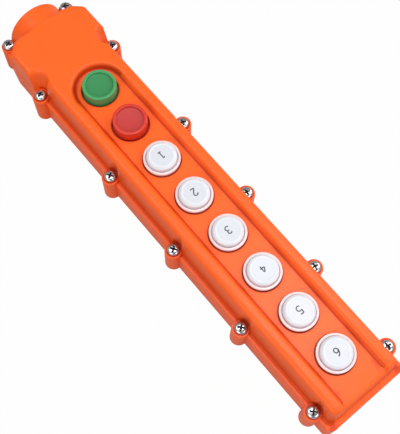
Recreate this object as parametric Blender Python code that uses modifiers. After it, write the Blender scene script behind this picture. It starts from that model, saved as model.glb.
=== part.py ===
import math

import bmesh
import bpy

# Hoist pendant switch: a two-part moulded housing with eight spring-return push buttons.
# It lies on its back. +Z is the way the buttons face, +Y points to the cable neck, and the
# origin is the middle of the back. All sizes are in metres.

# Clearances
SEAT_GAP = 0.0003
RUNNING_GAP = 0.0004

# Button row
BUTTON_COUNT = 8
TALL_BUTTONS = 2
BUTTON_PITCH = 0.0380
BUTTON_HOLE_DIAMETER = 0.0287
BUTTON_TRAVEL = 0.0040

# Housing along its length
FOOT_LENGTH = 0.0380
FOOT_FLANGE_WIDTH = 0.0042
HEAD_LENGTH = 0.0915
NECK_LENGTH = 0.0145
NECK_LIP_LENGTH = 0.0020
HEAD_CORNER_LENGTH = 0.0075
HEAD_CORNER_WIDTH = 0.0085
SHOULDER_STEP = 0.0015

# Housing across and upward
BODY_WIDTH = 0.0714
HEAD_SWELL = 0.0008
NECK_RADIUS = 0.02325
FLANGE_WIDTH = 0.0034
FLANGE_HEIGHT = 0.0018
HOUSING_DRAFT = 0.0027
HOUSING_EDGE_RADIUS = 0.0036
FOOT_CORNER_RADIUS = 0.0050
BACK_EDGE_RADIUS = 0.0020
RECESS_DEPTH = 0.0042
RECESS_HALF_WIDTH = 0.0190
RECESS_DRAFT = 0.0026
RECESS_END_WALL = 0.0040
PANEL_THICKNESS = 0.0028
FRONT_WALL = 0.0020
HEAD_ROOF = 0.0032
REAR_WALL = 0.0048
INNER_END_WALL = 0.0100
FLOOR_THICKNESS = 0.0030

# Screw ears and the scoops about the screw heads
EAR_RADIUS = 0.0068
NECK_EAR_RADIUS = 0.0060
EAR_HEIGHT = 0.0045
EAR_LIFT = 0.0008
EAR_EDGE = 0.0006
EAR_INSET = 0.0002
EAR_PITCHES = (-4, -2, 0, 2)
NECK_EAR_CORNER_ANGLE = 37.0
SCALLOP_RADIUS = 0.0061
POCKET_SCREW_OFFSET = 0.0330
POCKET_TOP_RADIUS = 0.0097
POCKET_LEAN = 0.0025
POCKET_WALL = 0.0030
SWELL_LEAD = 0.0041
SWELL_LENGTH = 0.0034
NECK_SCREW_SETBACK = 0.0050
NECK_JOIN_DEPTH = 0.0035
NECK_EDGE_RADIUS = 0.0010

# Cover screws
SCREW_HEAD_RADIUS = 0.00475
SCREW_HEAD_HEIGHT = 0.0030
SCREW_RADIUS = 0.0022
SCREW_LENGTH = 0.0220
SCREW_CROWN_WIDTH_SHARE = 0.65
SCREW_CROWN_SHARE = 0.86
SCREW_RIM_SHARE = 0.35

# Gasket strip between the covers
GASKET_WIDTH = 0.0018
GASKET_DEPTH = 0.0015
GASKET_OUTER_LAND = 0.0016
GASKET_SCREW_LAND = 0.0011
GASKET_END_LAND = 0.0040

# Cable inlet bush in the neck
NECK_WALL = 0.0043
NECK_LIP = 0.0017
NECK_SHOULDER = 0.0033
BUSH_WALL = 0.0072
BUSH_LENGTH = 0.0154
BUSH_MOUTH = 0.0015

# Caps
CAP_TALL_GAP = 0.0011
CAP_RIM_HEIGHT = 0.0087
CAP_RIM_WIDTH = 0.0026
CAP_RIM_EDGE = 0.0007
CAP_FACE_HEIGHT = 0.0075
CAP_FACE_SINK = 0.0021
CAP_FACE_THICKNESS = 0.0020
CAP_WALL = 0.0020
CAP_FLANGE_WIDTH = 0.00115
CAP_FLANGE_THICKNESS = 0.0015
DOME_RING_HEIGHT = 0.0036
DOME_RING_WIDTH = 0.0021
DOME_GROOVE = 0.0004
DOME_FACE_RADIUS = 0.0090
DOME_SHOULDER = 0.0008

# Plunger, spring and contact bridge
STEM_RADIUS = 0.0050
STEM_TAIL = 0.0034
COLLAR_THICKNESS = 0.0020
SPRING_WIRE_RADIUS = 0.0005
SPRING_TURNS = 3.0
SPRING_CLEARANCE = 0.0010
BRIDGE_LENGTH = 0.0260
BRIDGE_WIDTH = 0.0060
BRIDGE_THICKNESS = 0.0010
CONTACT_RADIUS = 0.0018
CONTACT_HEIGHT = 0.0008
CONTACT_INSET = 0.0030

# Contact blocks, one under each pair of buttons, and their rail
BLOCK_WIDTH = 0.0340
BLOCK_SPACING = 0.0016
BLOCK_EDGE = 0.0012
UNDER_CAP_ROOM = 0.0044
WINDOW_MARGIN = 0.0020
WINDOW_FLOOR_SHARE = 0.55
RAIL_WIDTH = 0.0220
RAIL_THICKNESS = 0.0020
RAIL_END = 0.0100
RAIL_SCREW_INSET = 0.0050
PILLAR_HEIGHT = 0.0020
PILLAR_RADIUS = 0.0070
SMALL_SCREW_RADIUS = 0.0018
SMALL_SCREW_HEAD_RADIUS = 0.0036
SMALL_SCREW_HEAD_HEIGHT = 0.0022
RAIL_SCREW_LENGTH = 0.0055

# Facets of the round pieces
CAP_STEPS = 20
HOLE_STEPS = 28
NECK_STEPS = 36
BORE_STEPS = 24
EAR_STEPS = 16
BOSS_STEPS = 4
SMALL_STEPS = 10
COIL_STEPS = 8

# Heights worked out from the sizes above
PARTING_Z = NECK_RADIUS
HOUSING_TOP_Z = 2.0 * NECK_RADIUS
PANEL_TOP_Z = HOUSING_TOP_Z - RECESS_DEPTH
PANEL_UNDER_Z = PANEL_TOP_Z - PANEL_THICKNESS
FLANGE_TOP_Z = PARTING_Z + FLANGE_HEIGHT
EAR_TOP_Z = PARTING_Z + EAR_HEIGHT
CAP_FLANGE_TOP_Z = PANEL_UNDER_Z - SEAT_GAP
CAP_FLANGE_LOW_Z = CAP_FLANGE_TOP_Z - CAP_FLANGE_THICKNESS
CAP_CEILING_Z = PANEL_TOP_Z + CAP_FACE_HEIGHT - CAP_FACE_THICKNESS
RAIL_LOW_Z = FLOOR_THICKNESS + PILLAR_HEIGHT + SEAT_GAP
RAIL_TOP_Z = RAIL_LOW_Z + RAIL_THICKNESS
BLOCK_LOW_Z = RAIL_TOP_Z + SEAT_GAP
BLOCK_TOP_Z = CAP_FLANGE_LOW_Z - BUTTON_TRAVEL - UNDER_CAP_ROOM
COLLAR_TOP_Z = CAP_CEILING_Z - SEAT_GAP
COLLAR_LOW_Z = COLLAR_TOP_Z - COLLAR_THICKNESS
WINDOW_HEIGHT = 2.0 * WINDOW_MARGIN + BRIDGE_THICKNESS + CONTACT_HEIGHT + BUTTON_TRAVEL
WINDOW_LOW_Z = BLOCK_LOW_Z + WINDOW_FLOOR_SHARE * (BLOCK_TOP_Z - BLOCK_LOW_Z - WINDOW_HEIGHT)
WINDOW_HIGH_Z = WINDOW_LOW_Z + WINDOW_HEIGHT
BRIDGE_Z = WINDOW_HIGH_Z - WINDOW_MARGIN - BRIDGE_THICKNESS / 2.0
STEM_LOW_Z = BRIDGE_Z - STEM_TAIL

# Places along Y worked out from the sizes above
ROW_LENGTH = (BUTTON_COUNT - 1) * BUTTON_PITCH
OVERALL_LENGTH = FOOT_LENGTH + ROW_LENGTH + HEAD_LENGTH
FOOT_Y = -OVERALL_LENGTH / 2.0
NECK_END_Y = OVERALL_LENGTH / 2.0
FIRST_BUTTON_Y = NECK_END_Y - HEAD_LENGTH
ROW_MIDDLE_Y = FIRST_BUTTON_Y - ROW_LENGTH / 2.0
SHOULDER_Y = NECK_END_Y - NECK_LENGTH
HEAD_CORNER_Y = SHOULDER_Y - SHOULDER_STEP - HEAD_CORNER_LENGTH
POCKET_SCREW_Y = FIRST_BUTTON_Y + POCKET_SCREW_OFFSET
NECK_SCREW_Y = NECK_END_Y - NECK_SCREW_SETBACK
BUSH_OUTER_Y = NECK_END_Y - NECK_LIP_LENGTH
BUSH_SEAT_Y = BUSH_OUTER_Y - BUSH_LENGTH - 2.0 * SEAT_GAP
HEAD_CAVITY_END_Y = BUSH_SEAT_Y - INNER_END_WALL
HEAD_CAVITY_START_Y = FIRST_BUTTON_Y + RECESS_HALF_WIDTH + RECESS_DRAFT + RECESS_END_WALL

# Places across X worked out from the sizes above
BODY_HALF_WIDTH = BODY_WIDTH / 2.0
HEAD_HALF_WIDTH = BODY_HALF_WIDTH + HEAD_SWELL
ROOT_HALF_WIDTH = BODY_HALF_WIDTH - FLANGE_WIDTH
RIDGE_HALF_WIDTH = ROOT_HALF_WIDTH - HOUSING_DRAFT
SCREW_X = BODY_HALF_WIDTH - EAR_INSET
NECK_SCREW_X = NECK_RADIUS + SCREW_HEAD_RADIUS + RUNNING_GAP
FRONT_CAVITY_HALF_WIDTH = RIDGE_HALF_WIDTH - FRONT_WALL
HEAD_CAVITY_HALF_WIDTH = SCREW_X - POCKET_TOP_RADIUS - POCKET_WALL
REAR_CAVITY_HALF_WIDTH = BODY_HALF_WIDTH - REAR_WALL
BUSH_SEAT_RADIUS = NECK_RADIUS - NECK_WALL
BUSH_LIP_RADIUS = BUSH_SEAT_RADIUS - NECK_LIP
BUSH_PASSAGE_RADIUS = BUSH_SEAT_RADIUS - NECK_SHOULDER
BUTTON_RADIUS = BUTTON_HOLE_DIAMETER / 2.0
SPRING_RADIUS = STEM_RADIUS + SPRING_CLEARANCE + SPRING_WIRE_RADIUS
COLLAR_RADIUS = SPRING_RADIUS + 2.0 * SPRING_WIRE_RADIUS

# How far a cutter runs past the face that it opens
OVERCUT = 0.0020


def clear_scene():
    for item in list(bpy.data.objects):
        bpy.data.objects.remove(item, do_unlink=True)


def make_collection(name):
    collection = bpy.data.collections.new(name)
    bpy.context.scene.collection.children.link(collection)
    return collection


def make_material(name, color, roughness, metallic=0.0):
    material = bpy.data.materials.new(name)
    material.use_nodes = True
    shader = material.node_tree.nodes["Principled BSDF"]
    shader.inputs["Base Color"].default_value = (*color, 1.0)
    shader.inputs["Roughness"].default_value = roughness
    shader.inputs["Metallic"].default_value = metallic
    return material


clear_scene()
PARTS = make_collection("hoist_pendant_switch")
CUTTERS = make_collection("cutters")

ORANGE = make_material("orange_housing", (1.00, 0.13, 0.01), 0.28)
GREEN = make_material("green_cap", (0.03, 0.26, 0.08), 0.35)
RED = make_material("red_cap", (0.56, 0.06, 0.05), 0.35)
WHITE = make_material("white_cap", (0.82, 0.83, 0.86), 0.30)
RUBBER = make_material("black_rubber", (0.02, 0.02, 0.02), 0.75)
ZINC = make_material("zinc_steel", (0.62, 0.62, 0.63), 0.28, 1.0)
NATURAL = make_material("natural_plastic", (0.68, 0.64, 0.54), 0.45)
BLACK = make_material("black_plastic", (0.03, 0.03, 0.03), 0.50)
BRASS = make_material("brass_contact", (0.70, 0.47, 0.16), 0.30, 1.0)


def place(name, mesh, material, location=(0.0, 0.0, 0.0), parent=None):
    item = bpy.data.objects.new(name, mesh)
    PARTS.objects.link(item)
    item.location = location
    item.parent = parent
    if not mesh.materials:
        mesh.materials.append(material)
    return item


def place_cutter(name, mesh, location=(0.0, 0.0, 0.0)):
    item = bpy.data.objects.new(name, mesh)
    CUTTERS.objects.link(item)
    item.location = location
    item.hide_render = True
    item.display_type = "WIRE"
    return item


def join_or_cut(target, cutter, operation):
    step = target.modifiers.new(cutter.name, "BOOLEAN")
    step.operation = operation
    step.object = cutter
    step.solver = "EXACT"


def applied_mesh(item):
    """The item's mesh with all its modifiers applied."""
    graph = bpy.context.evaluated_depsgraph_get()
    mesh = bpy.data.meshes.new_from_object(item.evaluated_get(graph))
    mesh.name = item.name
    return mesh


def smooth(mesh, angle=35.0):
    mesh.shade_smooth()
    mesh.set_sharp_from_angle(angle=math.radians(angle))


def carve(name, base, unions, cuts):
    """The base mesh with the union meshes joined to it and then the cut meshes taken away."""
    item = place_cutter(name, base)
    tools = [(mesh, "UNION") for mesh in unions] + [(mesh, "DIFFERENCE") for mesh in cuts]
    for mesh, operation in tools:
        join_or_cut(item, place_cutter(mesh.name, mesh), operation)
    mesh = applied_mesh(item)
    bpy.data.objects.remove(item, do_unlink=True)
    return mesh


def arc(centre, radius, start, end, steps):
    """Points along an arc from start to end, in degrees."""
    points = []
    for index in range(steps + 1):
        angle = math.radians(start + (end - start) * index / steps)
        x = centre[0] + radius * math.cos(angle)
        y = centre[1] + radius * math.sin(angle)
        points.append((x, y))
    return points


def mirrored(points):
    return [(-x, y) for x, y in reversed(points)]


def both_sides(right_side):
    """A closed outline from its right side, listed from the foot toward the neck."""
    return right_side + mirrored([point for point in right_side if abs(point[0]) > 1e-9])


def round_rim(shape, level, radius, segments=3):
    """Round the edges that lie in the plane at height level."""
    if radius <= 0.0:
        return
    rim = [edge for edge in shape.edges
           if all(abs(vert.co.z - level) < 1e-7 for vert in edge.verts)]
    bmesh.ops.bevel(shape, geom=rim, offset=radius, segments=segments, profile=0.5,
                    affect="EDGES")


def finished_mesh(name, shape):
    mesh = bpy.data.meshes.new(name)
    shape.to_mesh(mesh)
    shape.free()
    return mesh


def loft_mesh(name, low_outline, low_z, high_outline, high_z, low_radius=0.0, high_radius=0.0):
    """Body between two outlines with the same number of points at two heights."""
    shape = bmesh.new()
    low = [shape.verts.new((x, y, low_z)) for x, y in low_outline]
    high = [shape.verts.new((x, y, high_z)) for x, y in high_outline]
    shape.faces.new(list(reversed(low)))
    shape.faces.new(high)
    for index in range(len(low)):
        following = (index + 1) % len(low)
        shape.faces.new((low[index], low[following], high[following], high[index]))
    bmesh.ops.recalc_face_normals(shape, faces=shape.faces)
    round_rim(shape, low_z, low_radius)
    round_rim(shape, high_z, high_radius)
    return finished_mesh(name, shape)


def slab_mesh(name, outline, low_z, high_z, low_radius=0.0, high_radius=0.0):
    return loft_mesh(name, outline, low_z, outline, high_z, low_radius, high_radius)


def drums_mesh(name, places, radius, low_z, high_z, segments, edge=0.0):
    """One or more upright drums."""
    shape = bmesh.new()
    for x, y in places:
        made = bmesh.ops.create_cone(shape, cap_ends=True, segments=segments, radius1=radius,
                                     radius2=radius, depth=high_z - low_z)["verts"]
        bmesh.ops.translate(shape, verts=made, vec=(x, y, (high_z + low_z) / 2.0))
    round_rim(shape, high_z, edge, 2)
    return finished_mesh(name, shape)


def box_mesh(name, low, high, edge=0.0):
    shape = bmesh.new()
    bmesh.ops.create_cube(shape, size=1.0)
    for vert in shape.verts:
        for axis in range(3):
            middle = (low[axis] + high[axis]) / 2.0
            vert.co[axis] = middle + vert.co[axis] * (high[axis] - low[axis])
    round_rim(shape, high[2], edge, 1)
    return finished_mesh(name, shape)


def turned_mesh(name, profile, steps, ring=False):
    """Body turned about Z from (radius, height) points that run down its outer side.

    A ring's profile closes on itself; any other profile starts and ends on the axis.
    """
    line = bpy.data.meshes.new(name)
    links = [(index, index + 1) for index in range(len(profile) - 1)]
    if ring:
        links.append((len(profile) - 1, 0))
    line.from_pydata([(radius, 0.0, height) for radius, height in profile], links, [])
    item = place_cutter(name, line)
    turn = item.modifiers.new("turn", "SCREW")
    turn.axis = "Z"
    turn.steps = steps
    turn.render_steps = steps
    turn.use_merge_vertices = True
    turn.merge_threshold = 0.00001
    mesh = applied_mesh(item)
    bpy.data.objects.remove(item, do_unlink=True)
    smooth(mesh)
    return mesh


def lay_along_y(mesh, start_y, axis_z):
    """Turn a mesh made about Z so that its height runs along +Y from start_y."""
    shape = bmesh.new()
    shape.from_mesh(mesh)
    for vert in shape.verts:
        x, y, z = vert.co
        vert.co = (x, start_y + z, axis_z - y)
    bmesh.ops.recalc_face_normals(shape, faces=shape.faces)
    shape.to_mesh(mesh)
    shape.free()
    return mesh


def button_y(index):
    return FIRST_BUTTON_Y - index * BUTTON_PITCH


def side_screw_places():
    """Screw axes along the sides, from the foot to the pockets below the head."""
    rows = [ROW_MIDDLE_Y + count * BUTTON_PITCH for count in EAR_PITCHES]
    rows.append(POCKET_SCREW_Y)
    return [(side * SCREW_X, y) for y in rows for side in (-1, 1)]


def neck_screw_places():
    return [(side * NECK_SCREW_X, NECK_SCREW_Y) for side in (-1, 1)]


def pocket_screw_places():
    return [(side * SCREW_X, POCKET_SCREW_Y) for side in (-1, 1)]


def cover_outline():
    """Outline of both covers, without the screw ears."""
    corner = (BODY_HALF_WIDTH - FOOT_CORNER_RADIUS, FOOT_Y + FOOT_CORNER_RADIUS)
    right_side = arc(corner, FOOT_CORNER_RADIUS, -90.0, 0.0, 5)
    right_side.append((BODY_HALF_WIDTH, POCKET_SCREW_Y))
    right_side.append((HEAD_HALF_WIDTH, POCKET_SCREW_Y + SWELL_LENGTH))
    right_side.append((HEAD_HALF_WIDTH, HEAD_CORNER_Y))
    turn = math.radians(NECK_EAR_CORNER_ANGLE)
    right_side.append((NECK_SCREW_X + NECK_EAR_RADIUS * math.cos(turn),
                       NECK_SCREW_Y - NECK_EAR_RADIUS * math.sin(turn)))
    right_side.append((NECK_SCREW_X, NECK_END_Y - 2.0 * EAR_LIFT))
    return both_sides(right_side)


def housing_outline(z):
    """Outline at height z of the raised housing, whose walls draw in toward the top."""
    draw = HOUSING_DRAFT * (z - FLANGE_TOP_Z) / (HOUSING_TOP_Z - FLANGE_TOP_Z)
    half_width = ROOT_HALF_WIDTH - draw
    foot_end = FOOT_Y + FOOT_FLANGE_WIDTH + draw
    head_side = HEAD_HALF_WIDTH - SEAT_GAP
    corner = (half_width - FOOT_CORNER_RADIUS, foot_end + FOOT_CORNER_RADIUS)
    right_side = arc(corner, FOOT_CORNER_RADIUS, -90.0, 0.0, 5)
    right_side.append((half_width, POCKET_SCREW_Y - SWELL_LEAD))
    right_side.append((head_side, POCKET_SCREW_Y))
    right_side.append((head_side, HEAD_CORNER_Y))
    right_side.append((head_side - HEAD_CORNER_WIDTH, SHOULDER_Y - SHOULDER_STEP))
    right_side.append((NECK_RADIUS - NECK_JOIN_DEPTH, SHOULDER_Y))
    return both_sides(right_side)


def recess_outline(half_width):
    """The button recess: round about the first button and open past the foot."""
    right_side = [(half_width, FOOT_Y - OVERCUT)]
    right_side += arc((0.0, FIRST_BUTTON_Y), half_width, 0.0, 90.0, 10)
    return both_sides(right_side)


def neck_ear_outline(side):
    """Round ear beside the neck, flat on its outer end."""
    ring = arc((side * NECK_SCREW_X, NECK_SCREW_Y), NECK_EAR_RADIUS, 0.0, 345.0, 23)
    return [(x, min(y, NECK_END_Y - EAR_LIFT)) for x, y in ring]


def bossed_side(wall_x, boss_radius):
    """The right side of an outline at wall_x that bends inward round each screw."""
    swing = math.degrees(math.acos((SCREW_X - wall_x) / boss_radius))
    points = []
    for x, y in side_screw_places():
        if x > 0.0:
            points += arc((x, y), boss_radius, 180.0 + swing, 180.0 - swing, BOSS_STEPS)
    return points


def rear_cavity_outline():
    """Inside of the rear cover, with a round boss left about each screw."""
    right_side = [(REAR_CAVITY_HALF_WIDTH, FOOT_Y + REAR_WALL)]
    right_side += bossed_side(REAR_CAVITY_HALF_WIDTH, EAR_RADIUS)
    right_side.append((REAR_CAVITY_HALF_WIDTH, HEAD_CAVITY_END_Y))
    return both_sides(right_side)


def gasket_outline(clearance):
    """The gasket strip, a U open at the neck; clearance widens it into its groove."""
    width = GASKET_WIDTH + 2.0 * clearance
    outer_x = BODY_HALF_WIDTH - GASKET_OUTER_LAND + clearance
    outer_radius = SCREW_RADIUS + RUNNING_GAP + GASKET_SCREW_LAND - clearance
    foot_y = FOOT_Y + GASKET_OUTER_LAND - clearance
    end_y = HEAD_CAVITY_END_Y + GASKET_END_LAND + clearance
    tip_x = BUSH_SEAT_RADIUS - clearance
    outer = [(outer_x, foot_y)] + bossed_side(outer_x, outer_radius)
    outer += [(outer_x, end_y), (tip_x, end_y)]
    inner = [(outer_x - width, foot_y + width)]
    inner += bossed_side(outer_x - width, outer_radius + width)
    inner += [(outer_x - width, end_y - width), (tip_x, end_y - width)]
    return outer + list(reversed(inner)) + [(-x, y) for x, y in inner] + mirrored(outer)


def neck_bore_mesh(name):
    """The hollow of the neck: the outer lip, the seat of the bush and the inner passage."""
    start = HEAD_CAVITY_END_Y - OVERCUT
    profile = [
        (0.0, NECK_END_Y + OVERCUT - start),
        (BUSH_LIP_RADIUS, NECK_END_Y + OVERCUT - start),
        (BUSH_LIP_RADIUS, BUSH_OUTER_Y - start),
        (BUSH_SEAT_RADIUS, BUSH_OUTER_Y - start),
        (BUSH_SEAT_RADIUS, BUSH_SEAT_Y - start),
        (BUSH_PASSAGE_RADIUS, BUSH_SEAT_Y - start),
        (BUSH_PASSAGE_RADIUS, 0.0),
        (0.0, 0.0),
    ]
    return lay_along_y(turned_mesh(name, profile, BORE_STEPS), start, PARTING_Z)


def neck_mesh(name):
    """The round neck, with a flat facet uppermost so that it lies just under the housing top."""
    start = HEAD_CORNER_Y
    length = NECK_END_Y - start
    mesh = drums_mesh(name, [(0.0, 0.0)], NECK_RADIUS, 0.0, length, NECK_STEPS, NECK_EDGE_RADIUS)
    return lay_along_y(mesh, start, PARTING_Z)


def half_space_mesh(name, low_z, high_z):
    return box_mesh(name, (-BODY_WIDTH, -OVERALL_LENGTH, low_z), (BODY_WIDTH, OVERALL_LENGTH, high_z))


def ear_meshes(name, low_z, high_z):
    """Columns that carry the cover screws."""
    columns = [drums_mesh(name + "_columns", side_screw_places(), EAR_RADIUS, low_z, high_z,
                          EAR_STEPS, EAR_EDGE)]
    for side, label in ((-1, "left"), (1, "right")):
        columns.append(slab_mesh(name + "_neck_" + label, neck_ear_outline(side), low_z, high_z))
    return columns


def scoop_meshes():
    """Hollows in the housing side that clear the screw heads and the screwdriver."""
    low_z = EAR_TOP_Z - OVERCUT
    high_z = HOUSING_TOP_Z + OVERCUT
    plain = [point for point in side_screw_places() if point not in pocket_screw_places()]
    scoops = [drums_mesh("scallops", plain, SCALLOP_RADIUS, low_z, high_z, EAR_STEPS)]
    for (x, y), label in zip(pocket_screw_places(), ("left", "right")):
        foot_ring = arc((x, y), SCALLOP_RADIUS, 0.0, 345.0, 23)
        top_ring = arc((x, y + POCKET_LEAN), POCKET_TOP_RADIUS, 0.0, 345.0, 23)
        scoops.append(loft_mesh("pocket_" + label, foot_ring, low_z, top_ring, high_z))
    return scoops


def front_cavity_meshes():
    """Room for the caps and contact blocks, and a deeper one under the head."""
    foot_end = FOOT_Y + FOOT_FLANGE_WIDTH + HOUSING_DRAFT + FRONT_WALL
    main = box_mesh("front_cavity", (-FRONT_CAVITY_HALF_WIDTH, foot_end, 0.0),
                    (FRONT_CAVITY_HALF_WIDTH, HEAD_CAVITY_START_Y + OVERCUT, PANEL_UNDER_Z))
    head = box_mesh("head_cavity", (-HEAD_CAVITY_HALF_WIDTH, HEAD_CAVITY_START_Y, -OVERCUT),
                    (HEAD_CAVITY_HALF_WIDTH, HEAD_CAVITY_END_Y, HOUSING_TOP_Z - HEAD_ROOF))
    return [main, head]


def make_front_cover():
    base_z = PARTING_Z - OVERCUT
    housing = loft_mesh("housing", housing_outline(base_z), base_z,
                        housing_outline(HOUSING_TOP_Z), HOUSING_TOP_Z,
                        high_radius=HOUSING_EDGE_RADIUS)
    housing = carve("scooped_housing", housing, [], scoop_meshes())
    flange = slab_mesh("front_flange", cover_outline(), base_z - OVERCUT / 2.0, FLANGE_TOP_Z)
    ears = ear_meshes("front_ears", base_z - OVERCUT, EAR_TOP_Z)
    wide = RECESS_HALF_WIDTH + RECESS_DRAFT * (RECESS_DEPTH + OVERCUT) / RECESS_DEPTH
    recess = loft_mesh("recess", recess_outline(RECESS_HALF_WIDTH), PANEL_TOP_Z,
                       recess_outline(wide), HOUSING_TOP_Z + OVERCUT)
    holes = drums_mesh("button_holes", [(0.0, button_y(index)) for index in range(BUTTON_COUNT)],
                       BUTTON_RADIUS, PANEL_UNDER_Z - OVERCUT, PANEL_TOP_Z + OVERCUT, HOLE_STEPS)
    screw_holes = drums_mesh("front_screw_holes", side_screw_places() + neck_screw_places(),
                             SCREW_RADIUS + RUNNING_GAP, 0.0, EAR_TOP_Z + OVERCUT, SMALL_STEPS)
    below = half_space_mesh("below_parting", -OVERCUT, PARTING_Z + SEAT_GAP)
    cuts = [below, recess, *front_cavity_meshes(), holes, screw_holes, neck_bore_mesh("front_bore")]
    mesh = carve("front_cover", housing, [flange, *ears, neck_mesh("front_neck")], cuts)
    smooth(mesh)
    return place("front_cover", mesh, ORANGE)


def pillar_places():
    reach = BUTTON_COUNT * BUTTON_PITCH / 2.0 + RAIL_SCREW_INSET
    return [(0.0, ROW_MIDDLE_Y - reach), (0.0, ROW_MIDDLE_Y + reach)]


def make_rear_cover():
    shell = slab_mesh("rear_shell", cover_outline(), 0.0, PARTING_Z + OVERCUT,
                      low_radius=BACK_EDGE_RADIUS)
    ears = ear_meshes("rear_ears", EAR_LIFT, PARTING_Z + 2.0 * OVERCUT)
    cavity = slab_mesh("rear_cavity", rear_cavity_outline(), FLOOR_THICKNESS, PARTING_Z + OVERCUT * 3.0)
    above = half_space_mesh("above_parting", PARTING_Z, HOUSING_TOP_Z + OVERCUT)
    groove = slab_mesh("gasket_groove", gasket_outline(SEAT_GAP), PARTING_Z - GASKET_DEPTH,
                       PARTING_Z + OVERCUT)
    tip_z = EAR_TOP_Z + SEAT_GAP - SCREW_LENGTH
    bores = drums_mesh("screw_bores", side_screw_places() + neck_screw_places(),
                       SCREW_RADIUS + RUNNING_GAP, tip_z - RUNNING_GAP, PARTING_Z + OVERCUT, SMALL_STEPS)
    hollow = carve("hollow_rear", shell, [*ears, neck_mesh("rear_neck")],
                   [above, cavity, groove, bores, neck_bore_mesh("rear_bore")])
    pillars = drums_mesh("rail_pillars", pillar_places(), PILLAR_RADIUS, FLOOR_THICKNESS - OVERCUT / 2.0,
                         FLOOR_THICKNESS + PILLAR_HEIGHT, EAR_STEPS)
    rail_tip_z = RAIL_TOP_Z + SEAT_GAP - RAIL_SCREW_LENGTH
    rail_bores = drums_mesh("rail_screw_bores", pillar_places(), SMALL_SCREW_RADIUS + RUNNING_GAP,
                            rail_tip_z - RUNNING_GAP, RAIL_TOP_Z, SMALL_STEPS)
    mesh = carve("rear_cover", hollow, [pillars], [rail_bores])
    smooth(mesh)
    return place("rear_cover", mesh, ORANGE)


def make_gasket():
    low_z = PARTING_Z - GASKET_DEPTH + SEAT_GAP
    return place("cover_gasket", slab_mesh("cover_gasket", gasket_outline(0.0), low_z, PARTING_Z), RUBBER)


def make_cable_bush():
    """Rubber bush in the neck, held between the neck's lip and its inner shoulder."""
    start = BUSH_SEAT_Y + SEAT_GAP
    outer_radius = BUSH_SEAT_RADIUS - SEAT_GAP
    nose_radius = BUSH_LIP_RADIUS - SEAT_GAP
    bore_radius = outer_radius - BUSH_WALL
    nose_end = NECK_END_Y - start
    profile = [
        (bore_radius + BUSH_MOUTH, nose_end),
        (nose_radius, nose_end),
        (nose_radius, BUSH_LENGTH),
        (outer_radius, BUSH_LENGTH),
        (outer_radius, 0.0),
        (bore_radius + BUSH_MOUTH, 0.0),
        (bore_radius, BUSH_MOUTH),
        (bore_radius, nose_end - BUSH_MOUTH),
    ]
    mesh = lay_along_y(turned_mesh("cable_bush", profile, BORE_STEPS, ring=True), start, PARTING_Z)
    return place("cable_bush", mesh, RUBBER)


def screw_mesh(name, head_radius, head_height, shank_radius, length):
    """Pan-head screw whose head seats on the plane z = 0."""
    profile = [
        (0.0, head_height),
        (head_radius * SCREW_CROWN_WIDTH_SHARE, head_height * SCREW_CROWN_SHARE),
        (head_radius, head_height * SCREW_RIM_SHARE),
        (head_radius, 0.0),
        (shank_radius, 0.0),
        (shank_radius, -length),
        (0.0, -length),
    ]
    return turned_mesh(name, profile, SMALL_STEPS)


def make_cover_screws():
    mesh = screw_mesh("cover_screw", SCREW_HEAD_RADIUS, SCREW_HEAD_HEIGHT, SCREW_RADIUS, SCREW_LENGTH)
    for number, (x, y) in enumerate(side_screw_places() + neck_screw_places(), start=1):
        place(f"cover_screw_{number:02d}", mesh, ZINC, (x, y, EAR_TOP_Z + SEAT_GAP))


def tall_cap_mesh(name):
    """Hollow cap with a raised rim round a sunken face and a flange that keeps it in its hole."""
    radius = BUTTON_RADIUS - CAP_TALL_GAP
    face_radius = radius - CAP_RIM_WIDTH
    rim_z = PANEL_TOP_Z + CAP_RIM_HEIGHT
    face_z = rim_z - CAP_FACE_SINK
    profile = [
        (0.0, face_z),
        (face_radius - CAP_RIM_EDGE, face_z),
        (face_radius, rim_z),
        (radius - CAP_RIM_EDGE, rim_z),
        (radius, rim_z - CAP_RIM_EDGE),
        *skirt_profile(radius, radius - CAP_WALL),
    ]
    return turned_mesh(name, profile, CAP_STEPS)


def domed_cap_mesh(name):
    """Hollow cap with a low dome inside a flat outer ring."""
    radius = BUTTON_RADIUS - SEAT_GAP
    dome_radius = radius - DOME_RING_WIDTH
    face_z = PANEL_TOP_Z + CAP_FACE_HEIGHT
    ring_z = PANEL_TOP_Z + DOME_RING_HEIGHT
    profile = [
        (0.0, face_z),
        (DOME_FACE_RADIUS, face_z),
        ((DOME_FACE_RADIUS + 2.0 * dome_radius) / 3.0, face_z - DOME_SHOULDER),
        (dome_radius, (face_z + ring_z) / 2.0),
        (dome_radius, ring_z - DOME_GROOVE),
        (dome_radius + DOME_GROOVE, ring_z),
        (radius - DOME_GROOVE, ring_z),
        (radius, ring_z - DOME_GROOVE),
        *skirt_profile(radius, dome_radius - CAP_WALL),
    ]
    return turned_mesh(name, profile, CAP_STEPS)


def skirt_profile(radius, inner_radius):
    """Lower end of a cap: the flange under the panel and the hollow for the spring."""
    flange_radius = BUTTON_RADIUS + CAP_FLANGE_WIDTH
    return [
        (radius, CAP_FLANGE_TOP_Z),
        (flange_radius, CAP_FLANGE_TOP_Z),
        (flange_radius, CAP_FLANGE_LOW_Z),
        (inner_radius, CAP_FLANGE_LOW_Z),
        (inner_radius, CAP_CEILING_Z),
        (0.0, CAP_CEILING_Z),
    ]


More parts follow.
